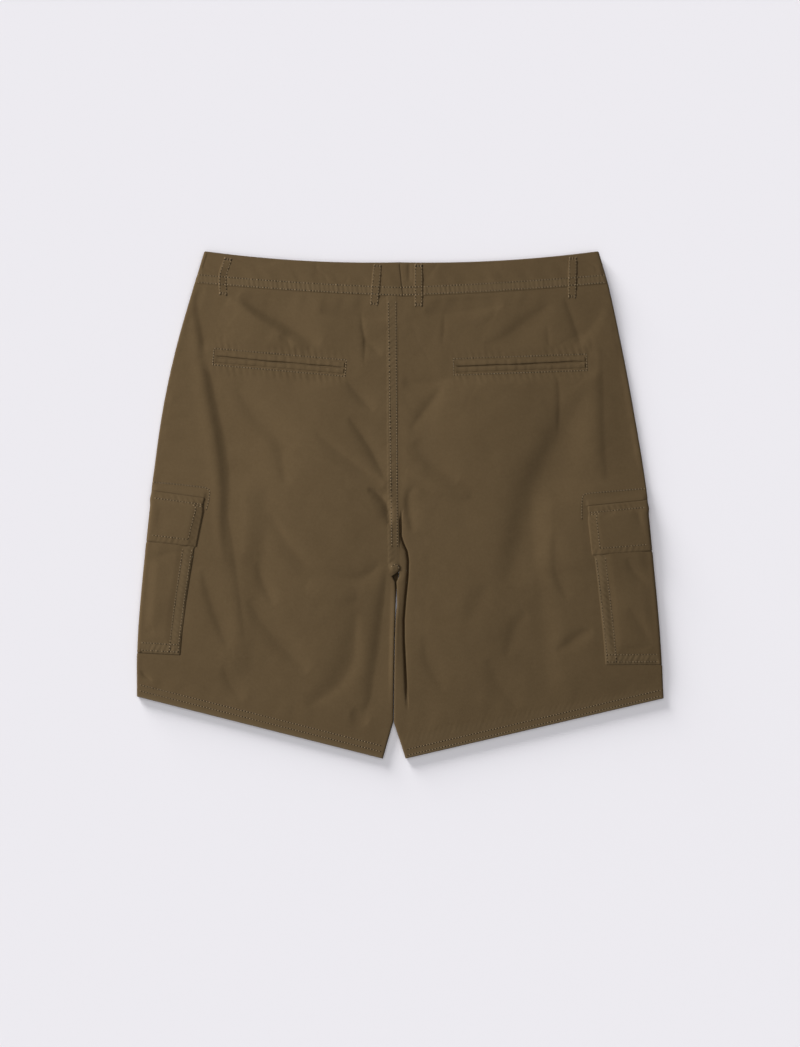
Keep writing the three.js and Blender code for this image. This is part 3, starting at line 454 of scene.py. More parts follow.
def hold(sec, depth, x, y):
    """Share of the folds that the cloth keeps: 0 where a seam or pocket holds it flat."""
    side = sec["side"]
    p = POCKETS[side]
    rows = ease((p["flap_top"] + 14 - sec["side_y"]) / 12) * ease((sec["side_y"] - p["bottom"] + 12) / 12)
    reach = np.where(sec["side_y"] < p["flap_hem"], p["body_back"][1], p["flap_back"][0])
    held = rows * ease(1 - (depth - reach - 1) / 9)
    waist = ease((SECTIONS[side][WAIST_SEAM] - sec["side_y"]) / 7)
    hem = ease((sec["side_y"] - SECTIONS[side][HEM] - 4) / 16)
    at_side = ease((depth - TURN + 0.5) / 6)
    at_centre = ease((sec["width"] - depth - 1) / np.where(sec["centre_y"] < CROTCH, 5, 9))
    return waist * hem * at_side * at_centre * (1 - held) * (1 - 0.7 * near_welt(side, x, y))


def crease_away(sec):
    """How far the deep crease lies from the centre line."""
    line = column(CREASE, "y", "x", sec["centre_y"])
    return line - column(CENTRE_LINE["back"], "y", "right", sec["centre_y"])


def crease_height(sec, depth):
    if sec["side"] == "left":
        return 0.0
    share = column(CREASE, "y", "share", sec["centre_y"])
    from_centre = sec["width"] - depth
    at = from_centre - crease_away(sec)
    inner = CREASE_PROFILE["height"][0] * ease(from_centre / 4)
    across = column(CREASE_PROFILE, "from", "height", at)
    return share * np.where(at < CREASE_PROFILE["from"][0], inner, across)


def crease_overhang(sec, depth):
    """How far the cloth beyond the deep crease folds back over it."""
    share = column(CREASE, "y", "share", sec["centre_y"])
    return share * column(CREASE_PROFILE, "from", "over", sec["width"] - depth - crease_away(sec))


def inseam_turn(centre_y):
    return np.clip((CROTCH - centre_y) / 8, 0, 1)


def turn_fall(away):
    near = np.clip(1 - away / TURN, 0, 1)
    return TURN - TURN * np.maximum(1 - near**TURN_POWER, 0) ** (1 / TURN_POWER)


# Meshes
def make_object(name, points, faces, material):
    """An object from points in millimetres and faces, riding on the shorts."""
    mesh = bpy.data.meshes.new(name)
    mesh.from_pydata((np.asarray(points, float) * MM).tolist(), [], faces)
    mesh.validate()
    mesh.materials.append(material)
    mesh.polygons.foreach_set("use_smooth", [True] * len(mesh.polygons))
    obj = bpy.data.objects.new(name, mesh)
    bpy.context.scene.collection.objects.link(obj)
    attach(obj, "root")
    return obj


def grid_faces(rows, columns, flip=False):
    i, j = np.meshgrid(np.arange(rows - 1), np.arange(columns - 1), indexing="ij")
    a = (i * columns + j).ravel()
    quads = np.stack([a, a + columns, a + columns + 1, a + 1], axis=1)
    return (quads[:, ::-1] if flip else quads).tolist()


def grid_object(name, grid, material, facing, attributes=None):
    """A one-layer sheet through a grid of points, its faces turned to the given side (+1 up, -1 down)."""
    rows, columns = grid.shape[:2]
    i, j = rows // 2, columns // 2
    a, b, c = grid[i, j], grid[i + 1, j], grid[i, j + 1]
    up = np.cross(b - a, c - a)[2]
    obj = make_object(name, grid.reshape(-1, 3), grid_faces(rows, columns, flip=up * facing < 0), material)
    for key, values in (attributes or {}).items():
        layer = obj.data.attributes.new(key, "FLOAT", "POINT")
        layer.data.foreach_set("value", np.broadcast_to(values, grid.shape[:2]).astype(np.float32).ravel())
    return obj


# Back and front panels
STEP = 1.5  # grid of the back
FRONT_STEP = 3.6
STRIP_EDGE = 0.45  # the strip above a flap stands up over this width
UNDER_BAND = 7  # the panels go on this far under the waistband
UNDER_SEAM = 2  # the right back goes on this far under the felled seam
FELL_RISE = 0.3  # the felled seam stands this far out, over a soft edge
FELL_EDGE = 2.2
HEM_TURN = 1.6  # thickness of the turned hem
TURN_POWER = 3.2  # the cloth lies flat nearly to its edge and turns over sharply; 2 would be a round turn
TURN_ANGLES = np.linspace(0, math.pi / 2, 7)
TURN_DEPTHS = TURN * (1 - np.cos(TURN_ANGLES) ** (2 / TURN_POWER))


def panel_rows(side, step):
    """Heights on the side seam of a panel's rows, with a row on each section."""
    stations = SECTIONS[side][WAIST_SEAM:]
    centres = SECTIONS["centre"][WAIST_SEAM:]
    rows = list(np.linspace(stations[0] + UNDER_BAND, stations[0], 4, endpoint=False))
    for k in range(len(stations) - 1):
        tall = max(abs(stations[k + 1] - stations[k]), abs(centres[k + 1] - centres[k]))
        steps = max(1, round(tall / step))
        rows.extend(np.linspace(stations[k], stations[k + 1], steps, endpoint=False))
    flap_top = POCKETS[side]["flap_top"]
    strip = [flap_top + STRIP_EDGE, flap_top + 2 * STRIP_EDGE]
    return np.array(sorted([*rows, stations[-1], *strip], reverse=True))


def panel_depths(sec, step):
    """Depths of a panel's columns: close at both turned edges and, on the right, along the deep crease."""
    width = sec["width"]
    away = crease_away(sec)
    shares = np.linspace(0, 1, 6)[1:-1]
    edge = np.broadcast_to(TURN_DEPTHS, (len(width), len(TURN_DEPTHS)))
    if sec["side"] == "right":
        first = np.minimum(TURN, 0.35 * away)
        low = away - 2.4
        under = np.where(sec["centre_y"] > CROTCH + 1, 1.0, 0.0) * np.array([-UNDER_SEAM, -UNDER_SEAM / 2])
        inner = [under, TURN_DEPTHS * first / TURN, first + (low - first) * shares,
                 away + np.arange(-2.4, 1.8, 0.35), away + np.arange(2.6, 22, 1.4)]
    else:
        fell = np.concatenate([np.arange(3.0, SEAM_WIDTH - 0.8, 0.8), SEAM_WIDTH + np.arange(-0.6, 2.2, 0.4),
                               np.arange(14, 26, 1.4)])
        inner = [edge, fell + 0 * width]
    inner = np.concatenate([np.broadcast_to(part, (len(width), part.shape[1])) for part in inner], axis=1)
    reach = inner[:, -1:]
    count = int(round(float((width - reach).max() - TURN) / step))
    between = TURN + (width - reach - TURN) * (np.arange(1, count) / count)
    return np.concatenate([edge, between, (width - inner)[:, ::-1]], axis=1)


# Soft unevenness and slanting crumple lines of the cloth: height, size, and what is added to the panel's seed
CLOTH_NOISE = [(0.42, 46, 10), (0.2, 21, 12), (0.07, 9, 14)]
CRUMPLES = [(0.22, 30, 20), (0.16, 17, 30)]


def fine_relief(sec, depth, x, y):
    """Small creases and ripples that only the surface shows."""
    side = sec["side"]
    seed = 11 if side == "left" else 12
    below_waist = SECTIONS[side][WAIST_SEAM] - sec["side_y"]
    above_hem = sec["side_y"] - SECTIONS[side][HEM]
    from_centre = sec["width"] - depth
    under_band = ease(below_waist / 3 + 0.4)
    uneven = 0.5 + 0.5 * wander(x, y, 40, seed + 1)
    waist = 0.6 * uneven * ripple(x + 0.25 * below_waist, 19, seed)
    waist = waist * np.exp(-np.maximum(below_waist, 0) / 13) * under_band
    hem_band = ease(above_hem / 1.5) * ease((15 - above_hem) / 4)
    hem = 0.2 * ripple(x - 1.1 * above_hem, 5.5, seed + 2) * hem_band
    over_hem = 0.25 * uneven * ripple(x - 0.6 * above_hem, 23, seed + 3) * hump(above_hem, 16, 8)
    seat = sec["centre_y"] > CROTCH + 1
    on_fell = ease((from_centre - 0.5) / 1.5) * ease((SEAM_WIDTH + 1.5 - from_centre) / 2)
    fell = 0.3 * ripple(y + 0.8 * from_centre, 6.0, seed + 4) * (on_fell if side == "left" else 0)
    beside = 0.3 * uneven * ripple(y + 0.6 * from_centre, 23, seed + 5) * hump(from_centre, 12, 8)
    side_seam = 0.25 * ripple(y - 0.3 * depth, 19, seed + 6) * np.exp(-depth / 12)
    along, across, length = welt_frame(side, x, y)
    around = hump(np.abs(across), 10, 6) * ease((length / 2 + 10 - np.abs(along)) / 10)
    welt = 0.5 * uneven * ripple(along + 0.3 * across, 7, seed + 8) * around
    soft = sum(height * wander(x, y, size, seed + more) for height, size, more in CLOTH_NOISE)
    soft = soft * ease(below_waist / 20) * ease(above_hem / 20)
    in_yoke = ease((y - 120) / 40)
    slant_along = 0.45 * (-SIGN[side] * 0.84 * x - 0.54 * y)
    slant_across = 0.75 * (-SIGN[side] * 0.54 * x + 0.84 * y)
    lines = sum(height * crumple(slant_along, slant_across, size, seed + more)
                for height, size, more in CRUMPLES)
    free = ease(below_waist / 6) * ease(above_hem / 10) * ease((depth - 8) / 20)
    soft = soft - (0.45 + 0.55 * in_yoke) * lines * free
    return waist + hem + over_hem + np.where(seat, fell + beside, 0) + side_seam + welt + soft


def crotch_bump(x, y):
    """The small knot of cloth where the four seams meet."""
    return 1.6 * np.exp(-(((x + 5.4) / 5.0) ** 2 + ((y + 66.4) / 4.8) ** 2) ** 3)


def welt_slit(side, x, y):
    """Depth of the slit between the two lips of a jetted pocket."""
    along, across, length = welt_frame(side, x, y)
    depth = 1.25 + 0.6 * wander(x, y, 17, 83)
    return depth * np.exp(-((across / 1.7) ** 2)) * ease((length / 2 - 1 - np.abs(along)) / 3)


def flap_strip(side, side_y, depth):
    """The strip above a cargo flap, which puffs out over the flap's sewn edge."""
    p = POCKETS[side]
    above = side_y - p["flap_top"]
    in_reach = ease((p["flap_back"][0] + 3 - depth) / 3)
    return 1.05 * in_reach * ease(above / STRIP_EDGE) * ease((9 - above) / 7.5) * ease((depth - 1) / 4)


def back_surface(side, step):
    """Grid of the back's outer face with its turned edges, and the wear on it."""
    sec = section(side, panel_rows(side, step))
    depth = panel_depths(sec, step)
    x, y = plan(sec, depth)
    from_centre = sec["width"] - depth
    kept = hold(sec, depth, x, y)
    z = lift(sec, depth) + LAID + main_relief(x, y) * kept + crease_height(sec, depth)
    z += fine_relief(sec, depth, x, y) * (0.35 + 0.65 * kept) * ease((depth - TURN) / 4)
    seat = sec["centre_y"] > CROTCH + 1
    if side == "left":
        fell = ease((SEAM_WIDTH + FELL_EDGE / 2 - from_centre) / FELL_EDGE) * ease(from_centre / 2.6)
        z += np.where(seat, FELL_RISE * fell, 0)
    z -= 0.3 * np.maximum(-from_centre, 0)
    z += crotch_bump(x, y) + flap_strip(side, sec["side_y"], depth) - welt_slit(side, x, y)
    z -= turn_fall(depth) + inseam_turn(sec["centre_y"]) * turn_fall(np.maximum(from_centre, 0))
    if side == "right":
        x = x - crease_overhang(sec, depth)
    above_hem = sec["side_y"] - SECTIONS[side][HEM]
    wear = 0.3 * np.exp(-((above_hem / 1.6) ** 2)) + 0.06 * ease((13 - above_hem) / 3) + 0 * depth
    if side == "left":
        wear = wear + 0.07 * np.where(seat, ease((SEAM_WIDTH + 1 - from_centre) / 2), 0)
    grid = hem_turned(np.stack([x, y, z], axis=-1), -1)
    return grid, np.concatenate([wear, np.repeat(wear[-1:], len(grid) - len(wear), 0)])


def hem_turned(grid, inward):
    """The grid with its last row turned over the hem's edge and up inside it."""
    last, before = grid[-1], grid[-2]
    out = last - before
    out[:, 2] = 0
    out /= np.maximum(np.linalg.norm(out, axis=1, keepdims=True), 1e-9)
    radius = HEM_TURN / 2
    rows = []
    for angle in np.linspace(0, math.pi, 5)[1:]:
        offset = out * radius * math.sin(angle)
        rows.append(last + offset + np.array([0, 0, inward * radius * (1 - math.cos(angle))]))
    rows.append(rows[-1] - out * 9)
    return np.concatenate([grid, np.array(rows)])


def front_surface(side, step):
    """Grid of the front's outer face, which lies on the table, with its turned edges."""
    sec = section(side, panel_rows(side, step), face="front")
    width = sec["width"]
    count = int(round(float(width.max()) / step))
    edge = np.broadcast_to(TURN_DEPTHS, (len(width), len(TURN_DEPTHS)))
    between = TURN + (width - 2 * TURN) * (np.arange(1, count) / count)
    depth = np.concatenate([edge, between, (width - edge)[:, ::-1]], axis=1)
    x, y = plan(sec, depth)
    from_centre = width - depth
    z = lift(sec, depth) + turn_fall(depth) + inseam_turn(sec["centre_y"]) * turn_fall(from_centre)
    return hem_turned(np.stack([x, y, z], axis=-1), 1)


# Pieces that wrap round the side seams
def wrap(sec, offset, backs, fronts):
    """Rows of points over the back, round the side and under the front, at an offset outside the panels."""
    radius = TURN + offset
    out = np.cos(TURN_ANGLES) ** (2 / TURN_POWER)
    up = np.sin(TURN_ANGLES) ** (2 / TURN_POWER)
    base = lift(sec, np.zeros_like(sec["width"]))
    over_x, over_y = plan(sec, backs)
    over_z = lift(sec, backs) + LAID + offset
    under_x, under_y = plan(sec, fronts)
    under_z = lift(sec, fronts) - offset
    tx, ty = plan(sec, TURN - radius * out)
    down_z = base + LAID - TURN + radius * up
    up_z = base + TURN - radius * up
    xs = np.concatenate([over_x, tx[:, ::-1], tx, under_x], axis=1)
    ys = np.concatenate([over_y, ty[:, ::-1], ty, under_y], axis=1)
    zs = np.concatenate([over_z, down_z[:, ::-1], up_z, under_z], axis=1)
    return np.stack([xs, ys, zs], axis=-1)


def rimmed(grid, under):
    """A sheet whose four edges turn down to the under-grid, which shows the thickness of turned cloth."""
    top = np.concatenate([under[:1], grid, under[-1:]])
    left = np.concatenate([under[:1, :1], under[:, :1], under[-1:, :1]])
    right = np.concatenate([under[:1, -1:], under[:, -1:], under[-1:, -1:]])
    return np.concatenate([left, top, right], axis=1)


def rounded_rim(rows, columns, row_pitch, column_pitch, radius):
    """How far a sheet's face falls towards its rim, for edges rounded over a radius, on an even grid."""
    i = np.arange(rows)[:, None] * row_pitch
    j = np.arange(columns)[None, :] * column_pitch
    away = np.minimum(np.minimum(i, i[-1] - i), np.minimum(j, j[:, -1] - j))
    near = np.clip(1 - away / radius, 0, 1)
    return radius * (1 - np.sqrt(np.maximum(1 - near**2, 0)))


def reach_depths(edge, outer, step):
    """Depths from a piece's inner edge out to where the cloth turns over."""
    count = max(2, int(round(float(np.max(edge)) / step)))
    shares = np.linspace(0, 1, count)
    return edge + (outer - edge) * shares


def pocket_rows(top, bottom, step):
    return np.linspace(top, bottom, int((top - bottom) / step))


# How far a pocket's stitched edge is drawn down to the panel, under the flap and at the pocket's foot
SEWN_DOWN = {"left": (0.95, 0.55), "right": (1.15, 1.15)}


def cargo_pocket(side, material):
    p = POCKETS[side]
    mouth = p["flap_top"] - POCKET_MOUTH
    rows = pocket_rows(mouth, p["bottom"], 1.3)
    sec = section(side, rows)
    share = ((mouth - rows) / (mouth - p["bottom"]))[:, None]
    reach = p["body_back"][0] + (p["body_back"][1] - p["body_back"][0]) * share
    backs = reach_depths(reach, TURN + 0.5, 1.3)
    fronts = reach_depths(np.full_like(reach, p["front"]), TURN + 0.5, 3)[:, ::-1]
    x, y = plan(sec, backs)
    from_edge = reach - backs
    from_foot = rows[:, None] - p["bottom"]
    edge_near = np.minimum(from_edge, from_foot)
    inside = ease((edge_near - 9) / 10)
    puff = 0.4 * wander(x, y, 24, 31) + 0.9 * inside
    along_edge = ripple(y + 0.8 * x, 6.4, 33) * ease(from_edge / 2) * ease((13 - from_edge) / 3)
    along_foot = ripple(x - 0.5 * y, 5.6, 34) * ease(from_foot / 2) * ease((13 - from_foot) / 3)
    pucker = 0.32 * np.where(from_edge < from_foot, along_edge, along_foot)
    folds = sum(one_fold(x, y, fold) for fold in POCKET_FOLDS[side]) * ease((edge_near - 1.5) / 3)
    grid = wrap(sec, POCKET_OUT - 0.3, backs, fronts)
    from_side = ease((backs - TURN - 0.5) / 12)
    at_mouth, at_foot = SEWN_DOWN[side]
    sewn_down = (at_mouth + (at_foot - at_mouth) * share**2) * ease(1 - edge_near / 7)
    grid[:, : backs.shape[1], 2] += ((puff + pucker) * ease(edge_near / 3) + folds) * from_side - sewn_down
    strip = np.zeros(grid.shape[:2])
    strip[:, : backs.shape[1]] = 0.1 * ease((13 - edge_near) / 3)
    return wrapped_piece(f"cargo_pocket_{side}", grid, wrap(sec, GAP - 0.2, backs, fronts), material, strip)


def wrapped_piece(name, grid, under, material, wear=0.0):
    wear = np.pad(np.broadcast_to(wear, grid.shape[:2]), 1, mode="edge")
    fall = rounded_rim(grid.shape[0], grid.shape[1], 1.25, 1.25, 1.1)
    grid = grid + (under - grid) * (fall / 1.5)[..., None]
    obj = grid_object(name + "_cloth", rimmed(grid, under), material, 1, {"wear": wear})
    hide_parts(name)
    return obj


def cargo_flap(side, material):
    p = POCKETS[side]
    rows = pocket_rows(p["flap_top"], p["flap_hem"], 1.2)
    sec = section(side, rows)
    share = ((p["flap_top"] - rows) / (p["flap_top"] - p["flap_hem"]))[:, None]
    reach = p["flap_back"][0] + (p["flap_back"][1] - p["flap_back"][0]) * share
    backs = reach_depths(reach, TURN + 0.5, 1.2)
    fronts = reach_depths(np.full_like(reach, p["front"] + 2), TURN + 0.5, 3)[:, ::-1]
    down = (p["flap_top"] - rows)[:, None]
    from_edge = reach - backs
    from_foot = rows[:, None] - p["flap_hem"]
    low_edge = 1.65 * ease(1 - from_edge / 14)
    raised = (POCKET_OUT - GAP) * ease((down - 2) / 12)
    x, y = plan(sec, backs)
    edge_near = np.minimum(from_edge, np.minimum(down, from_foot))
    along_edge = ripple(y + 0.8 * x, 6.4, 35) * ease(from_edge / 2) * ease((12 - from_edge) / 3)
    along_foot = ripple(x - 0.5 * y, 6.2, 36) * ease(from_foot / 2) * ease((10 - from_foot) / 3)
    along_top = ripple(x + 0.5 * y, 6.0, 37) * ease(down / 2) * ease((11 - down) / 3)
    pucker = 0.24 * (along_edge + along_foot + along_top) + 0.35 * wander(x, y, 22, 38)
    folds = sum(one_fold(x, y, fold) for fold in FLAP_FOLDS[side])
    fold_line = -0.15 * hump(down, FLAP_SEWN, 1.8) - 0.75 * ease(1 - down / 2.5)
    from_side = ease((backs - TURN - 0.5) / 6)
    grid = wrap(sec, GAP + raised + FLAP_CLOTH - 0.2, backs, fronts)
    relief = (pucker + folds + fold_line) * ease(edge_near / 3) * from_side
    drawn_down = low_edge * ease(down / 12)
    grid[:, : backs.shape[1], 2] += relief - drawn_down
    under = wrap(sec, GAP - 0.2 + 0.4 * raised, backs, fronts)
    under[:, : backs.shape[1], 2] -= drawn_down
    return wrapped_piece(f"cargo_flap_{side}", grid, under, material)


BAND_TONGUE = 2.0  # the left half of the band goes on this far under the right half


def waistband(side, material):
    """Half of the band, with its top edge turned over, its foot turned under and the centre seam's crease."""
    top, foot = SECTIONS[side][WAIST_TOP], SECTIONS[side][WAIST_SEAM] + GAP
    height = top - foot
    rows = np.linspace(foot, top, 34)
    sec = section(side, rows, BAND_RISE, "band")
    past = BAND_TONGUE if side == "left" else 0
    reach = reach_depths(sec["width"] + past, TURN + 0.5, 1.15)
    up = (rows - foot)[:, None]
    grid = wrap(sec, BAND_RISE - 0.2, reach, reach[:, ::-1])
    x, y = plan(sec, reach)
    seed = 51 if side == "left" else 52
    sewn = ease((up - 0.6) / 1.5) * ease((12 - up) / 3)
    pucker = (0.2 + 0.08 * wander(x, y, 60, seed + 5)) * ripple(x + 0.15 * up, 4.9, seed) * sewn
    above = 0.25 * ripple(x + 0.5 * up, 21, seed + 1) * hump(up, 15, 8)
    soft = (0.42 * wander(x, y, 34, seed + 2) + 0.18 * wander(x, y, 14, seed + 3)) * ease((up - 6) / 8)
    from_centre = sec["width"] - reach
    seam = -0.35 * np.exp(-np.maximum(from_centre, 0) / 1.4) * ease((up - 2) / 5)
    seam -= 1.2 * ease(-from_centre / 0.9)
    crease = -0.7 * hump(x, 9.5, 2.2) * ease((up - 13) / 6)
    puff = pucker + above + soft + seam + crease - 0.3 * crumple(x, y, 24, seed + 6) * ease((up - 11) / 4)
    grid[:, : reach.shape[1], 2] += puff * ease((height - up) / 3)
    under = wrap(sec, -CLOTH, reach, reach[:, ::-1])
    rim = np.minimum(up, height - up)
    near = np.clip(1 - rim / 0.9, 0, 1)
    grid = grid + (under - grid) * (0.45 * (1 - np.sqrt(np.maximum(1 - near**2, 0))))[..., None]
    inside = under[-8:][::-1]
    wear = np.concatenate([[0], 0.1 * sewn[:, 0], [0] * len(inside)])[:, None]
    whole = np.concatenate([under[:1], grid, inside])
    obj = grid_object(f"waistband_{side}_cloth", whole, material, 1, {"wear": wear})
    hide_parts(f"waistband_{side}")
    return obj


# Finding heights on the finished shells
def tree_of(objects):
    points, faces = [], []
    for obj in objects:
        offset = len(points)
        points.extend(v.co / MM for v in obj.data.vertices)
        faces.extend([k + offset for k in p.vertices] for p in obj.data.polygons)
    return BVHTree.FromPolygons(points, faces)


def height_at(tree, x, y, face):
    hit = tree.ray_cast(Vector((x, y, 60 * face)), Vector((0, 0, -face)))[0]
    return None if hit is None else hit.z


def loop_object(loop, tree, material):
    """A belt loop with rounded edges, arched between its sewn ends."""
    top, foot = np.array(loop["top"], float), np.array(loop["foot"], float)
    length = np.linalg.norm(foot - top)
    along = (foot - top) / length
    across = np.array([-along[1], along[0]])
    half = LOOP_WIDTH / 2
    bend, tilt = loop.get("bend", 0), loop.get("tilt", 0)
    profile = [(-1, -0.1), (-0.97, 0.35), (-0.86, 0.72), (-0.66, 0.92), (-0.35, 0.95), (0, 0.9), (0.35, 0.95),
               (0.66, 0.92), (0.86, 0.72), (0.97, 0.35), (1, -0.1)]
    stations = np.linspace(0, 1, 31)
    rows = []
    spring = 1.0 if loop["face"] > 0 else 0.5
    for s in stations:
        middle = top + (foot - top) * s + across * bend * math.sin(math.pi * s) ** 2
        found = [height_at(tree, *(middle + across * half * k), loop["face"]) for k in (-1, 0, 1)]
        cloth = max(loop["face"] * z for z in found if z is not None)
        rise = spring * float(column(LOOP_ARCH, "along", "rise", s))
        rows.append((middle, cloth - LOOP_SUNK + rise))
    heights = np.convolve(np.pad([r[1] for r in rows], 2, mode="edge"), np.ones(5) / 5, mode="valid")
    ends = 1 - 0.35 * np.clip(1 - np.minimum(stations, 1 - stations) * length / 0.8, 0, 1)
    wave = 0.34 * ripple(stations * length, 5.6, len(loop["name"]))
    lean = tilt * np.sin(np.pi * stations) ** 2
    stretches = zip(rows, heights, ends, wave, lean)
    grid = np.array([[[*(middle + across * half * k), loop["face"] * (z + LOOP_CLOTH * v * e + w * v - t * k)]
                      for k, v in profile] for (middle, _), z, e, w, t in stretches])
    obj = grid_object(loop["name"] + "_cloth", grid, material, loop["face"])
    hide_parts(loop["name"])
    return obj


def lip_object(side, upper, tree, material):
    """One rounded lip of a jetted pocket."""
    a, b = slit_ends(side)
    length = np.linalg.norm(b - a)
    along = (b - a) / length
    across = np.array([-along[1], along[0]]) * (1 if upper else -1)
    near, far = 0.25, LIP_WIDTH + GAP
    profile = [(near, -0.8), (near, 0.1), (near + 0.4, 0.75), (near + 1.2, 1.0), (near + 2.8, 1.0),
               (far - 1.4, 0.85), (far - 0.5, 0.55), (far, 0.15), (far, -0.5)]
    seed = 71 + (side == "right") + 2 * upper
    stations = np.linspace(0, length, 90)
    wave = 0.2 * ripple(stations, 10, seed) + 0.14 * ripple(stations, 5.2, seed + 9)
    shares = stations / length
    opening = WELT_GAPE[side]
    gape = np.interp(shares, opening["along"], opening["open"])
    rows = []
    for s, raised, shift in zip(stations, wave, gape):
        middle = a + along * s
        base = height_at(tree, *(middle + across * 3), 1) + raised - LIP_SUNK
        rows.append([[*(middle + across * (k + (shift if k < 3 else 0))), base + LIP_CLOTH * v]
                     for k, v in profile])
    name = f"welt_{side}_{'upper' if upper else 'lower'}"
    obj = grid_object(name + "_cloth", np.array(rows), material, 1)
    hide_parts(name)
    return obj


# Stitching
STITCH_PITCH = 3.1
STITCH_LENGTH = 1.7
THREAD = 0.46  # half width of a stitch
# Along a stitch: share of its length, share of its width, height over the cloth
STITCH_RINGS = [(0.0, 0.15, -0.3), (0.25, 0.95, 0.1), (0.75, 0.95, 0.1), (1.0, 0.15, -0.3)]
# The small pit the needle leaves before each stitch, its faces coloured near-black as painted shade inside
# the needle holes: half its length and width, its rim and its floor
HOLE = {"along": 0.62, "across": 0.55, "rim": 0.12, "floor": -0.5}


def resample(line, pitch):
    line = np.asarray(line, float)
    steps = np.linalg.norm(np.diff(line, axis=0), axis=1)
    total = np.concatenate([[0], np.cumsum(steps)])
    count = max(1, int(round(total[-1] / pitch)))
    at = np.linspace(0, total[-1], count + 1)
    return np.stack([np.interp(at, total, line[:, k]) for k in range(2)], axis=1)


def stitches(name, lines, tree, face, material, size=1.0):
    """Rows of short raised stitches on the cloth along lines of the plan, their thread of a given size, each
    with a needle pit after it whose faces carry painted shade.
    """
    points, faces, painted_shade_mask = [], [], []
    sides = 5
    for line in lines:
        stations = resample(line, STITCH_PITCH)
        for a, b in zip(stations[:-1], stations[1:]):
            span = b - a
            drawn = size * (1 + 0.22 * float(wander(*a, 16, 91)) + 0.12 * float(wander(*a, 5, 92)))
            b = a + span * (STITCH_LENGTH / STITCH_PITCH)
            za, zb = height_at(tree, *a, face), height_at(tree, *b, face)
            if za is None or zb is None or abs(za - zb) > 1.6:
                continue
            start, end = np.array([*a, za]), np.array([*b, zb])
            along = (end - start) / np.linalg.norm(end - start)
            across = np.cross([0, 0, face], along)
            across /= np.linalg.norm(across)
            up = np.cross(along, across)
            first = len(points)
            for share, wide, rise in STITCH_RINGS:
                centre = start + (end - start) * share + up * rise
                for k in range(sides):
                    angle = 2 * math.pi * k / sides
                    spoke = across * math.cos(angle) + 0.7 * up * math.sin(angle)
                    points.append(centre + THREAD * drawn * wide * spoke)
            for ring in range(len(STITCH_RINGS) - 1):
                for k in range(sides):
                    p, q = first + ring * sides + k, first + ring * sides + (k + 1) % sides
                    faces.append((p, q, q + sides, p + sides))
            faces.append(tuple(first + k for k in reversed(range(sides))))
            last = first + (len(STITCH_RINGS) - 1) * sides
            faces.append(tuple(last + k for k in range(sides)))
            painted_shade_mask.extend([0.0] * (len(points) - len(painted_shade_mask)))
            # The needle pit after each stitch: its points are marked 1 in the mask, so the thread material
            # paints its faces near-black as shade
            half = along * HOLE["along"], across * HOLE["across"] * drawn
            middle = end + along * (STITCH_PITCH - STITCH_LENGTH) / 2
            painted_shade_hole = len(points)
            for m, n in ((-1, -1), (1, -1), (1, 1), (-1, 1)):
                points.append(middle + m * half[0] + n * half[1] + up * HOLE["rim"])
            points.append(middle + up * HOLE["floor"])
            faces.append((painted_shade_hole, painted_shade_hole + 1, painted_shade_hole + 2, painted_shade_hole + 3))
            faces.extend((painted_shade_hole + (k + 1) % 4, painted_shade_hole + k, painted_shade_hole + 4) for k in range(4))
            painted_shade_mask.extend([1.0] * 5)
    obj = make_object(name, points, faces, material)
    layer = obj.data.attributes.new("painted_shade_hole", "FLOAT", "POINT")
    layer.data.foreach_set("value", np.array(painted_shade_mask, np.float32))
    return obj


def across_line(side, side_y, depth_from, depth_to, count=80, inset=None, offset_y=0.0):
    """A line of the plan along one section, between depths from the side seam or, below 0, the centre."""
    sec = section(side, [side_y], inset)
    width = float(sec["width"][0, 0])
    ends = [d if d >= 0 else width + d for d in (depth_from, depth_to)]
    x, y = plan(sec, np.linspace(*ends, count)[None, :])
    return np.stack([x[0], y[0] + offset_y], axis=1)


def along_side(side, top, bottom, depth_top, depth_bottom, count=60):
    """A line of the plan between two heights on the side seam at given depths."""
    rows = np.linspace(top, bottom, count)
    depths = np.linspace(depth_top, depth_bottom, count)[:, None]
    x, y = plan(section(side, rows), depths)
    return np.stack([x[:, 0], y[:, 0]], axis=1)


# Materials
def node(tree, kind, x, y, **values):
    made = tree.nodes.new(kind)
    made.location = (x, y)
    for key, value in values.items():
        if key in made.inputs:
            made.inputs[key].default_value = value
        else:
            setattr(made, key, value)
    return made


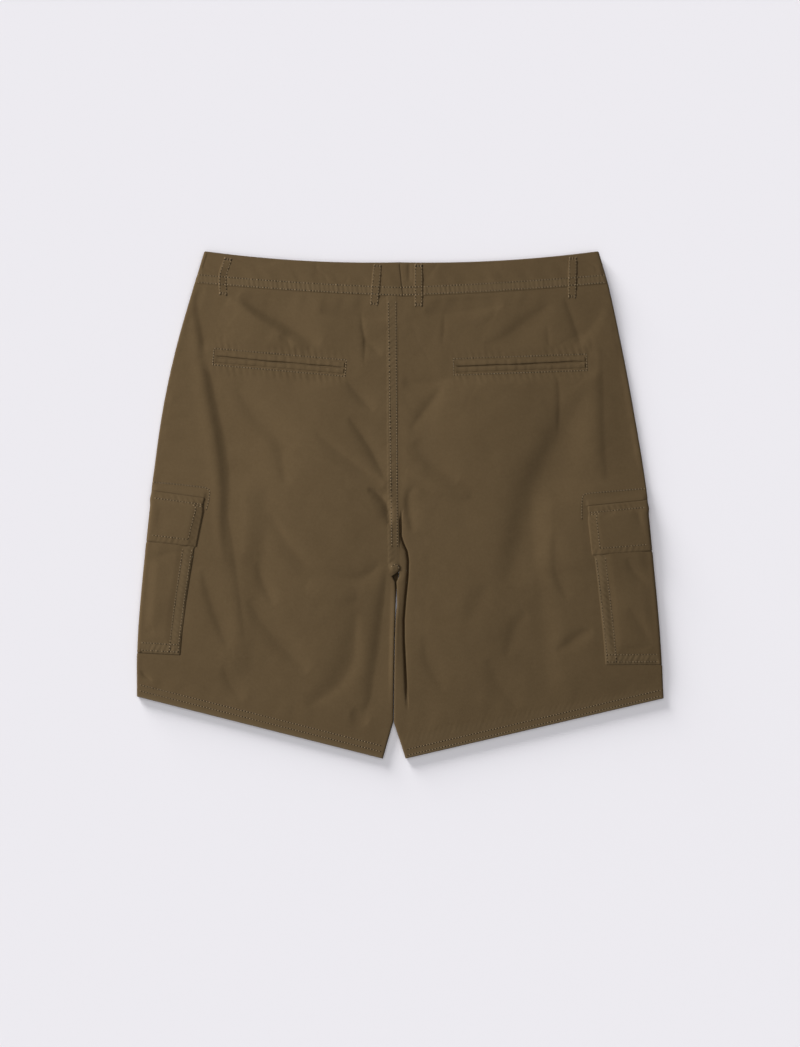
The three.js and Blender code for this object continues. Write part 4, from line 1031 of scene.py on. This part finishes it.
def twill_material(name, dark, light, worn):
    """Washed cotton twill: diagonal ribs, uneven yarns, cloudy dye and paler worn places."""
    material = bpy.data.materials.new(name)
    material.use_nodes = True
    tree = material.node_tree
    tree.nodes.clear()
    link = tree.links.new
    out = node(tree, "ShaderNodeOutputMaterial", 1100, 0)
    shader = node(tree, "ShaderNodeBsdfPrincipled", 820, 0)
    shader.inputs["Roughness"].default_value = 0.88
    shader.inputs["Sheen Weight"].default_value = 0.12
    shader.inputs["Sheen Roughness"].default_value = 0.45
    shader.inputs["Sheen Tint"].default_value = (0.62, 0.55, 0.44, 1)
    shader.inputs["Specular IOR Level"].default_value = 0.18
    link(shader.outputs["BSDF"], out.inputs["Surface"])
    where = node(tree, "ShaderNodeTexCoord", -1100, 0)
    scaled = node(tree, "ShaderNodeMapping", -900, 0)
    scaled.inputs["Scale"].default_value = (1000, 1000, 1000)
    link(where.outputs["Object"], scaled.inputs["Vector"])
    turned = node(tree, "ShaderNodeMapping", -700, -300)
    turned.inputs["Rotation"].default_value = (0, 0, math.radians(62))
    link(scaled.outputs["Vector"], turned.inputs["Vector"])
    ribs = node(tree, "ShaderNodeTexWave", -480, -300, wave_type="BANDS", bands_direction="X", Scale=0.42,
                Distortion=1.2, Detail=1.0)
    ribs.inputs["Detail Scale"].default_value = 0.6
    link(turned.outputs["Vector"], ribs.inputs["Vector"])
    yarn = node(tree, "ShaderNodeTexNoise", -480, -560, Scale=0.9, Detail=3.0, Roughness=0.65)
    link(scaled.outputs["Vector"], yarn.inputs["Vector"])
    cloud = node(tree, "ShaderNodeTexNoise", -480, 300, Scale=0.016, Detail=4.0, Roughness=0.55)
    link(scaled.outputs["Vector"], cloud.inputs["Vector"])
    fleck = node(tree, "ShaderNodeTexNoise", -480, 60, Scale=0.35, Detail=2.0, Roughness=0.6)
    link(scaled.outputs["Vector"], fleck.inputs["Vector"])
    shade = node(tree, "ShaderNodeMix", 40, 200, data_type="RGBA")
    shade.inputs[6].default_value = (*dark, 1)
    shade.inputs[7].default_value = (*light, 1)
    mottle = node(tree, "ShaderNodeTexNoise", -480, 780, Scale=0.06, Detail=3.0, Roughness=0.6)
    link(scaled.outputs["Vector"], mottle.inputs["Vector"])
    clouds = node(tree, "ShaderNodeMath", -360, 420, operation="ADD")
    link(cloud.outputs["Fac"], clouds.inputs[0])
    link(mottle.outputs["Fac"], clouds.inputs[1])
    blend = node(tree, "ShaderNodeMath", -240, 300, operation="MULTIPLY_ADD")
    blend.inputs[1].default_value = 0.38
    link(clouds.outputs[0], blend.inputs[0])
    small = node(tree, "ShaderNodeMath", -240, 60, operation="MULTIPLY_ADD")
    small.inputs[1].default_value = 0.5
    link(fleck.outputs["Fac"], small.inputs[0])
    tiny = node(tree, "ShaderNodeMath", -240, -160, operation="MULTIPLY_ADD")
    tiny.inputs[1].default_value = 0.35
    tiny.inputs[2].default_value = -0.3
    link(ribs.outputs["Fac"], tiny.inputs[0])
    link(tiny.outputs[0], small.inputs[2])
    link(small.outputs[0], blend.inputs[2])
    link(blend.outputs[0], shade.inputs[0])
    wear = node(tree, "ShaderNodeAttribute", -240, 520, attribute_name="wear")
    rubbed = node(tree, "ShaderNodeMix", 300, 200, data_type="RGBA")
    rubbed.inputs[7].default_value = (*worn, 1)
    link(wear.outputs["Fac"], rubbed.inputs[0])
    link(shade.outputs[2], rubbed.inputs[6])
    link(rubbed.outputs[2], shader.inputs["Base Color"])
    rib_bump = node(tree, "ShaderNodeBump", 300, -300, Strength=0.5, Distance=0.00012)
    link(ribs.outputs["Fac"], rib_bump.inputs["Height"])
    yarn_bump = node(tree, "ShaderNodeBump", 540, -300, Strength=0.5, Distance=0.0002)
    link(yarn.outputs["Fac"], yarn_bump.inputs["Height"])
    link(rib_bump.outputs["Normal"], yarn_bump.inputs["Normal"])
    link(yarn_bump.outputs["Normal"], shader.inputs["Normal"])
    return material


def thread_material():
    material = bpy.data.materials.new("sewing_thread")
    material.use_nodes = True
    tree = material.node_tree
    shader = tree.nodes["Principled BSDF"]
    shader.inputs["Roughness"].default_value = 0.7
    shader.inputs["Specular IOR Level"].default_value = 0.15
    where = node(tree, "ShaderNodeTexCoord", -900, 0)
    twist = node(tree, "ShaderNodeTexNoise", -600, 0, Scale=900.0, Detail=1.0)
    tree.links.new(where.outputs["Object"], twist.inputs["Vector"])
    shade = node(tree, "ShaderNodeMix", -300, 0, data_type="RGBA")
    shade.inputs[6].default_value = (0.28, 0.2, 0.115, 1)
    shade.inputs[7].default_value = (0.4, 0.295, 0.175, 1)
    tree.links.new(twist.outputs["Fac"], shade.inputs[0])
    # Painted shade: the needle pits are coloured near-black where the mask is 1, standing in for the shadow
    # inside them
    painted_shade_hole = node(tree, "ShaderNodeAttribute", -600, -300, attribute_name="painted_shade_hole")
    painted_hole_shade = node(tree, "ShaderNodeMix", -120, 0, data_type="RGBA")
    painted_hole_shade.inputs[7].default_value = (0.045, 0.031, 0.017, 1)
    tree.links.new(painted_shade_hole.outputs["Fac"], painted_hole_shade.inputs[0])
    tree.links.new(shade.outputs[2], painted_hole_shade.inputs[6])
    tree.links.new(painted_hole_shade.outputs[2], shader.inputs["Base Color"])
    return material


def plastic_material():
    material = bpy.data.materials.new("button_horn")
    material.use_nodes = True
    tree = material.node_tree
    shader = tree.nodes["Principled BSDF"]
    shader.inputs["Roughness"].default_value = 0.35
    where = node(tree, "ShaderNodeTexCoord", -900, 0)
    grain = node(tree, "ShaderNodeTexNoise", -600, 0, Scale=160.0, Detail=4.0)
    tree.links.new(where.outputs["Object"], grain.inputs["Vector"])
    shade = node(tree, "ShaderNodeMix", -300, 0, data_type="RGBA")
    shade.inputs[6].default_value = (0.03, 0.02, 0.012, 1)
    shade.inputs[7].default_value = (0.09, 0.06, 0.035, 1)
    tree.links.new(grain.outputs["Fac"], shade.inputs[0])
    tree.links.new(shade.outputs[2], shader.inputs["Base Color"])
    return material


# Camera, light and floor
FRAME_PIXELS = (800, 1047)
PIXEL = 1.05  # millimetres of the table in one pixel
GARMENT_CENTRE_PIXEL = (400.25, 504.75)
CAMERA_HEIGHT = 3000
TABLE = 6.0  # half the table's width, in metres
WARM = (1, 0.985, 0.96)
WHITE = (1, 0.99, 0.98)


def add_camera():
    x = (FRAME_PIXELS[0] / 2 - GARMENT_CENTRE_PIXEL[0]) * PIXEL
    y = (GARMENT_CENTRE_PIXEL[1] - FRAME_PIXELS[1] / 2) * PIXEL
    data = bpy.data.cameras.new("camera")
    data.sensor_fit = "VERTICAL"
    data.angle_y = 2 * math.atan(FRAME_PIXELS[1] * PIXEL / 2 / (CAMERA_HEIGHT - LAID))
    data.clip_end = 50
    camera = bpy.data.objects.new("camera", data)
    camera.location = (x * MM, y * MM, CAMERA_HEIGHT * MM)
    bpy.context.scene.collection.objects.link(camera)
    bpy.context.scene.camera = camera


def add_light(name, kind, place, target, colour, energy, size, receivers):
    """A soft light that faces a point of the table and lights one collection."""
    data = bpy.data.lights.new(name, kind)
    if kind == "SUN":
        data.angle = math.radians(size)
    else:
        data.shape = "DISK"
        data.size = size
    data.energy = energy
    data.color = colour
    light = bpy.data.objects.new(name, data)
    light.location = place
    light.rotation_euler = (Vector(target) - Vector(place)).to_track_quat("-Z", "Y").to_euler()
    light.light_linking.receiver_collection = receivers
    light.visible_camera = False
    bpy.context.scene.collection.objects.link(light)


def add_studio(table_things, garment_things):
    """A window at the upper left lights the shorts and fades across them, and lights the paper evenly."""
    scene = bpy.context.scene
    scene.view_settings.view_transform = "Standard"
    world = bpy.data.worlds.new("studio")
    scene.world = world
    world.use_nodes = True
    backdrop = world.node_tree.nodes["Background"]
    backdrop.inputs["Color"].default_value = (0.95, 0.96, 1.0, 1)
    backdrop.inputs["Strength"].default_value = 0.2
    middle = (0, 0, 0)
    near_seat = (-0.12, 0.12, 0)
    add_light("window", "AREA", (-3.3, 1.05, 2.05), middle, WARM, 190, 1.35, garment_things)
    add_light("softbox", "AREA", (-0.12, 0.12, 0.6), near_seat, WARM, 0.5, 0.4, garment_things)
    add_light("window_on_paper", "SUN", (-1.5, 2.25, 0.54), middle, WHITE, 6.7, 28, table_things)
    add_light("ceiling_on_paper", "SUN", (0, 0, 3), middle, WHITE, 1.4, 70, table_things)
    floor_material = bpy.data.materials.new("table_paper")
    floor_material.use_nodes = True
    shader = floor_material.node_tree.nodes["Principled BSDF"]
    shader.inputs["Base Color"].default_value = (0.80, 0.79, 0.83, 1)
    shader.inputs["Roughness"].default_value = 0.9
    shader.inputs["Specular IOR Level"].default_value = 0.1
    mesh = bpy.data.meshes.new("table")
    corners = [(-TABLE, -TABLE), (TABLE, -TABLE), (TABLE, TABLE), (-TABLE, TABLE)]
    mesh.from_pydata([(x, y, -0.0001) for x, y in corners], [], [(0, 1, 2, 3)])
    mesh.materials.append(floor_material)
    table = bpy.data.objects.new("table", mesh)
    scene.collection.objects.link(table)
    table_things.objects.link(table)


# Building the shorts
twill = twill_material("cotton_twill", (0.0965, 0.0625, 0.0285), (0.1345, 0.0905, 0.0445), (0.2, 0.15, 0.085))
thread = thread_material()
add_camera()
table_things = bpy.data.collections.new("table_things")
garment_things = bpy.data.collections.new("garment_things")
add_studio(table_things, garment_things)

backs, fronts, bands, pockets, flaps = {}, {}, {}, {}, {}
for side in SIDES:
    grid, wear = back_surface(side, STEP)
    backs[side] = grid_object(f"back_{side}_cloth", grid, twill, 1, {"wear": wear})
    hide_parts(f"back_{side}")
    fronts[side] = grid_object(f"front_{side}_cloth", front_surface(side, FRONT_STEP), twill, -1)
    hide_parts(f"front_{side}")
    bands[side] = waistband(side, twill)
    pockets[side] = cargo_pocket(side, twill)
    flaps[side] = cargo_flap(side, twill)

back_tree = tree_of(backs.values())
band_tree = tree_of([*backs.values(), *fronts.values(), *bands.values()])
lips = {(side, upper): lip_object(side, upper, back_tree, twill) for side in SIDES for upper in (True, False)}
loops = [loop_object(loop, band_tree, twill) for loop in LOOPS]

everything = tree_of([*backs.values(), *fronts.values(), *bands.values(), *pockets.values(), *flaps.values(),
                      *lips.values(), *loops])


def box_line(side, half_height, past):
    """The stitched box round a jetted pocket."""
    a, b = slit_ends(side)
    along = (b - a) / np.linalg.norm(b - a)
    up = np.array([-along[1], along[0]]) * half_height
    a, b = a - along * past, b + along * past
    corners = [a + up, b + up, b - up, a - up]
    return [np.array([corners[k], corners[(k + 1) % 4]]) for k in range(4)]


def seam_rows(side, name):
    """The rows of stitches of one half, by name."""
    p = POCKETS[side]
    waist, hem = SECTIONS[side][WAIST_SEAM], SECTIONS[side][HEM]
    foot = p["bottom"]
    if name == "waist":
        return [across_line(side, waist + GAP, 3, -0.8, 200, BAND_RISE, dy) for dy in (2.0, 9.8)]
    if name == "hem":
        return [across_line(side, hem, 3, -2, 200, 0.0, dy) for dy in HEM_ROWS[side]]
    if name == "pocket":
        upper, lower = p["flap_back"][1] - 1, p["body_back"][1]
        side_rows = [along_side(side, p["flap_hem"] - 3, foot + 3, upper - d, lower - d) for d in (2.2, 11.5)]
        foot_rows = [across_line(side, foot + dy, 3, lower - 2, 60) for dy in (3.2, 11)]
        return side_rows + foot_rows
    edge = p["flap_back"]
    top_row = across_line(side, p["flap_top"] - FLAP_SEWN + 0.5, 3, edge[0] - 1.5, 60)
    side_row = along_side(side, p["flap_top"] - 11, p["flap_hem"] + 8, edge[0] - 9.5, edge[1] - 9.5)
    foot_row = across_line(side, p["flap_hem"] + 7.5, 3, edge[1] - 9.5, 60)
    tack = across_line(side, p["flap_top"] - FLAP_SEWN - 1.7, edge[0] - 12, edge[0] - 1.5, 12)
    return [top_row, side_row, foot_row, tack]


HEM_ROWS = {"left": (6.0, 12.4), "right": (2.4, 8.6)}
# Stitching on the back panel round each flap, which holds the pocket's strengthening cloth
OUTER_ROWS = {
    "left": [(-259.7, 23.9), (-230, 21), (-204.4, 18), (-199.6, 15.0), (-201, 4), (-203.6, -5.5)],
    "right": [(256.9, 17), (228, 14.6), (198, 12), (191.5, 10.4), (190.4, 0), (190.6, -15.3)],
}
FELL_ROWS = [[(-12.4, 213), (-8.9, -44)], [(-4.6, 213), (-3.0, -44)]]
CROTCH_TACK = [(-9.4, -65.2), (-7.6, -63.0), (-4.8, -62.4), (-2.4, -63.6), (-1.2, -66.0), (-1.3, -68.6)]
THREAD_SIZES = {"waist": 1.0, "hem": 0.95, "pocket": 0.85, "flap": 0.85,
                "welt": 1.0, "seat": 0.9, "loops": 0.75}
for side in SIDES:
    for name in ("waist", "hem", "pocket", "flap"):
        rows = seam_rows(side, name)
        stitches(f"stitch_{name}_{side}", rows, everything, 1, thread, THREAD_SIZES[name])
    boxes = box_line(side, 8.6, 2.2) + [OUTER_ROWS[side]]
    stitches(f"stitch_welt_{side}", boxes, everything, 1, thread, THREAD_SIZES["welt"])
stitches("stitch_seat", [*FELL_ROWS, CROTCH_TACK], everything, 1, thread, THREAD_SIZES["seat"])


def loop_rows(loop):
    """Two rows along a loop and a bar of stitches at each end."""
    top, foot = np.array(loop["top"], float), np.array(loop["foot"], float)
    along = (foot - top) / np.linalg.norm(foot - top)
    across = np.array([-along[1], along[0]])
    shares = np.linspace(0, 1, 15)[:, None]
    middle = top + (foot - top) * shares + across * loop.get("bend", 0) * np.sin(np.pi * shares) ** 2
    rows = [middle + across * k for k in (-3.3, 3.3)]
    for end, step in ((top, 1.4), (foot, -1.6)):
        bars = [end + along * step * n for n in (1, 1.8)]
        rows += [np.array([bar - across * 4.2, bar + across * 4.2]) for bar in bars]
    return rows


for face, name in ((1, "back"), (-1, "front")):
    chosen = [line for loop in LOOPS if loop["face"] == face for line in loop_rows(loop)]
    stitches(f"stitch_loops_{name}", chosen, everything, face, thread, THREAD_SIZES["loops"])

frame["nodes"]["waist_button"].data.materials.clear()
frame["nodes"]["waist_button"].data.materials.append(plastic_material())
frame["nodes"]["fly_zip"].data.materials.clear()
frame["nodes"]["fly_zip"].data.materials.append(twill)

for obj in bpy.context.scene.objects:
    if obj.type == "MESH" and obj.name != "table":
        garment_things.objects.link(obj)
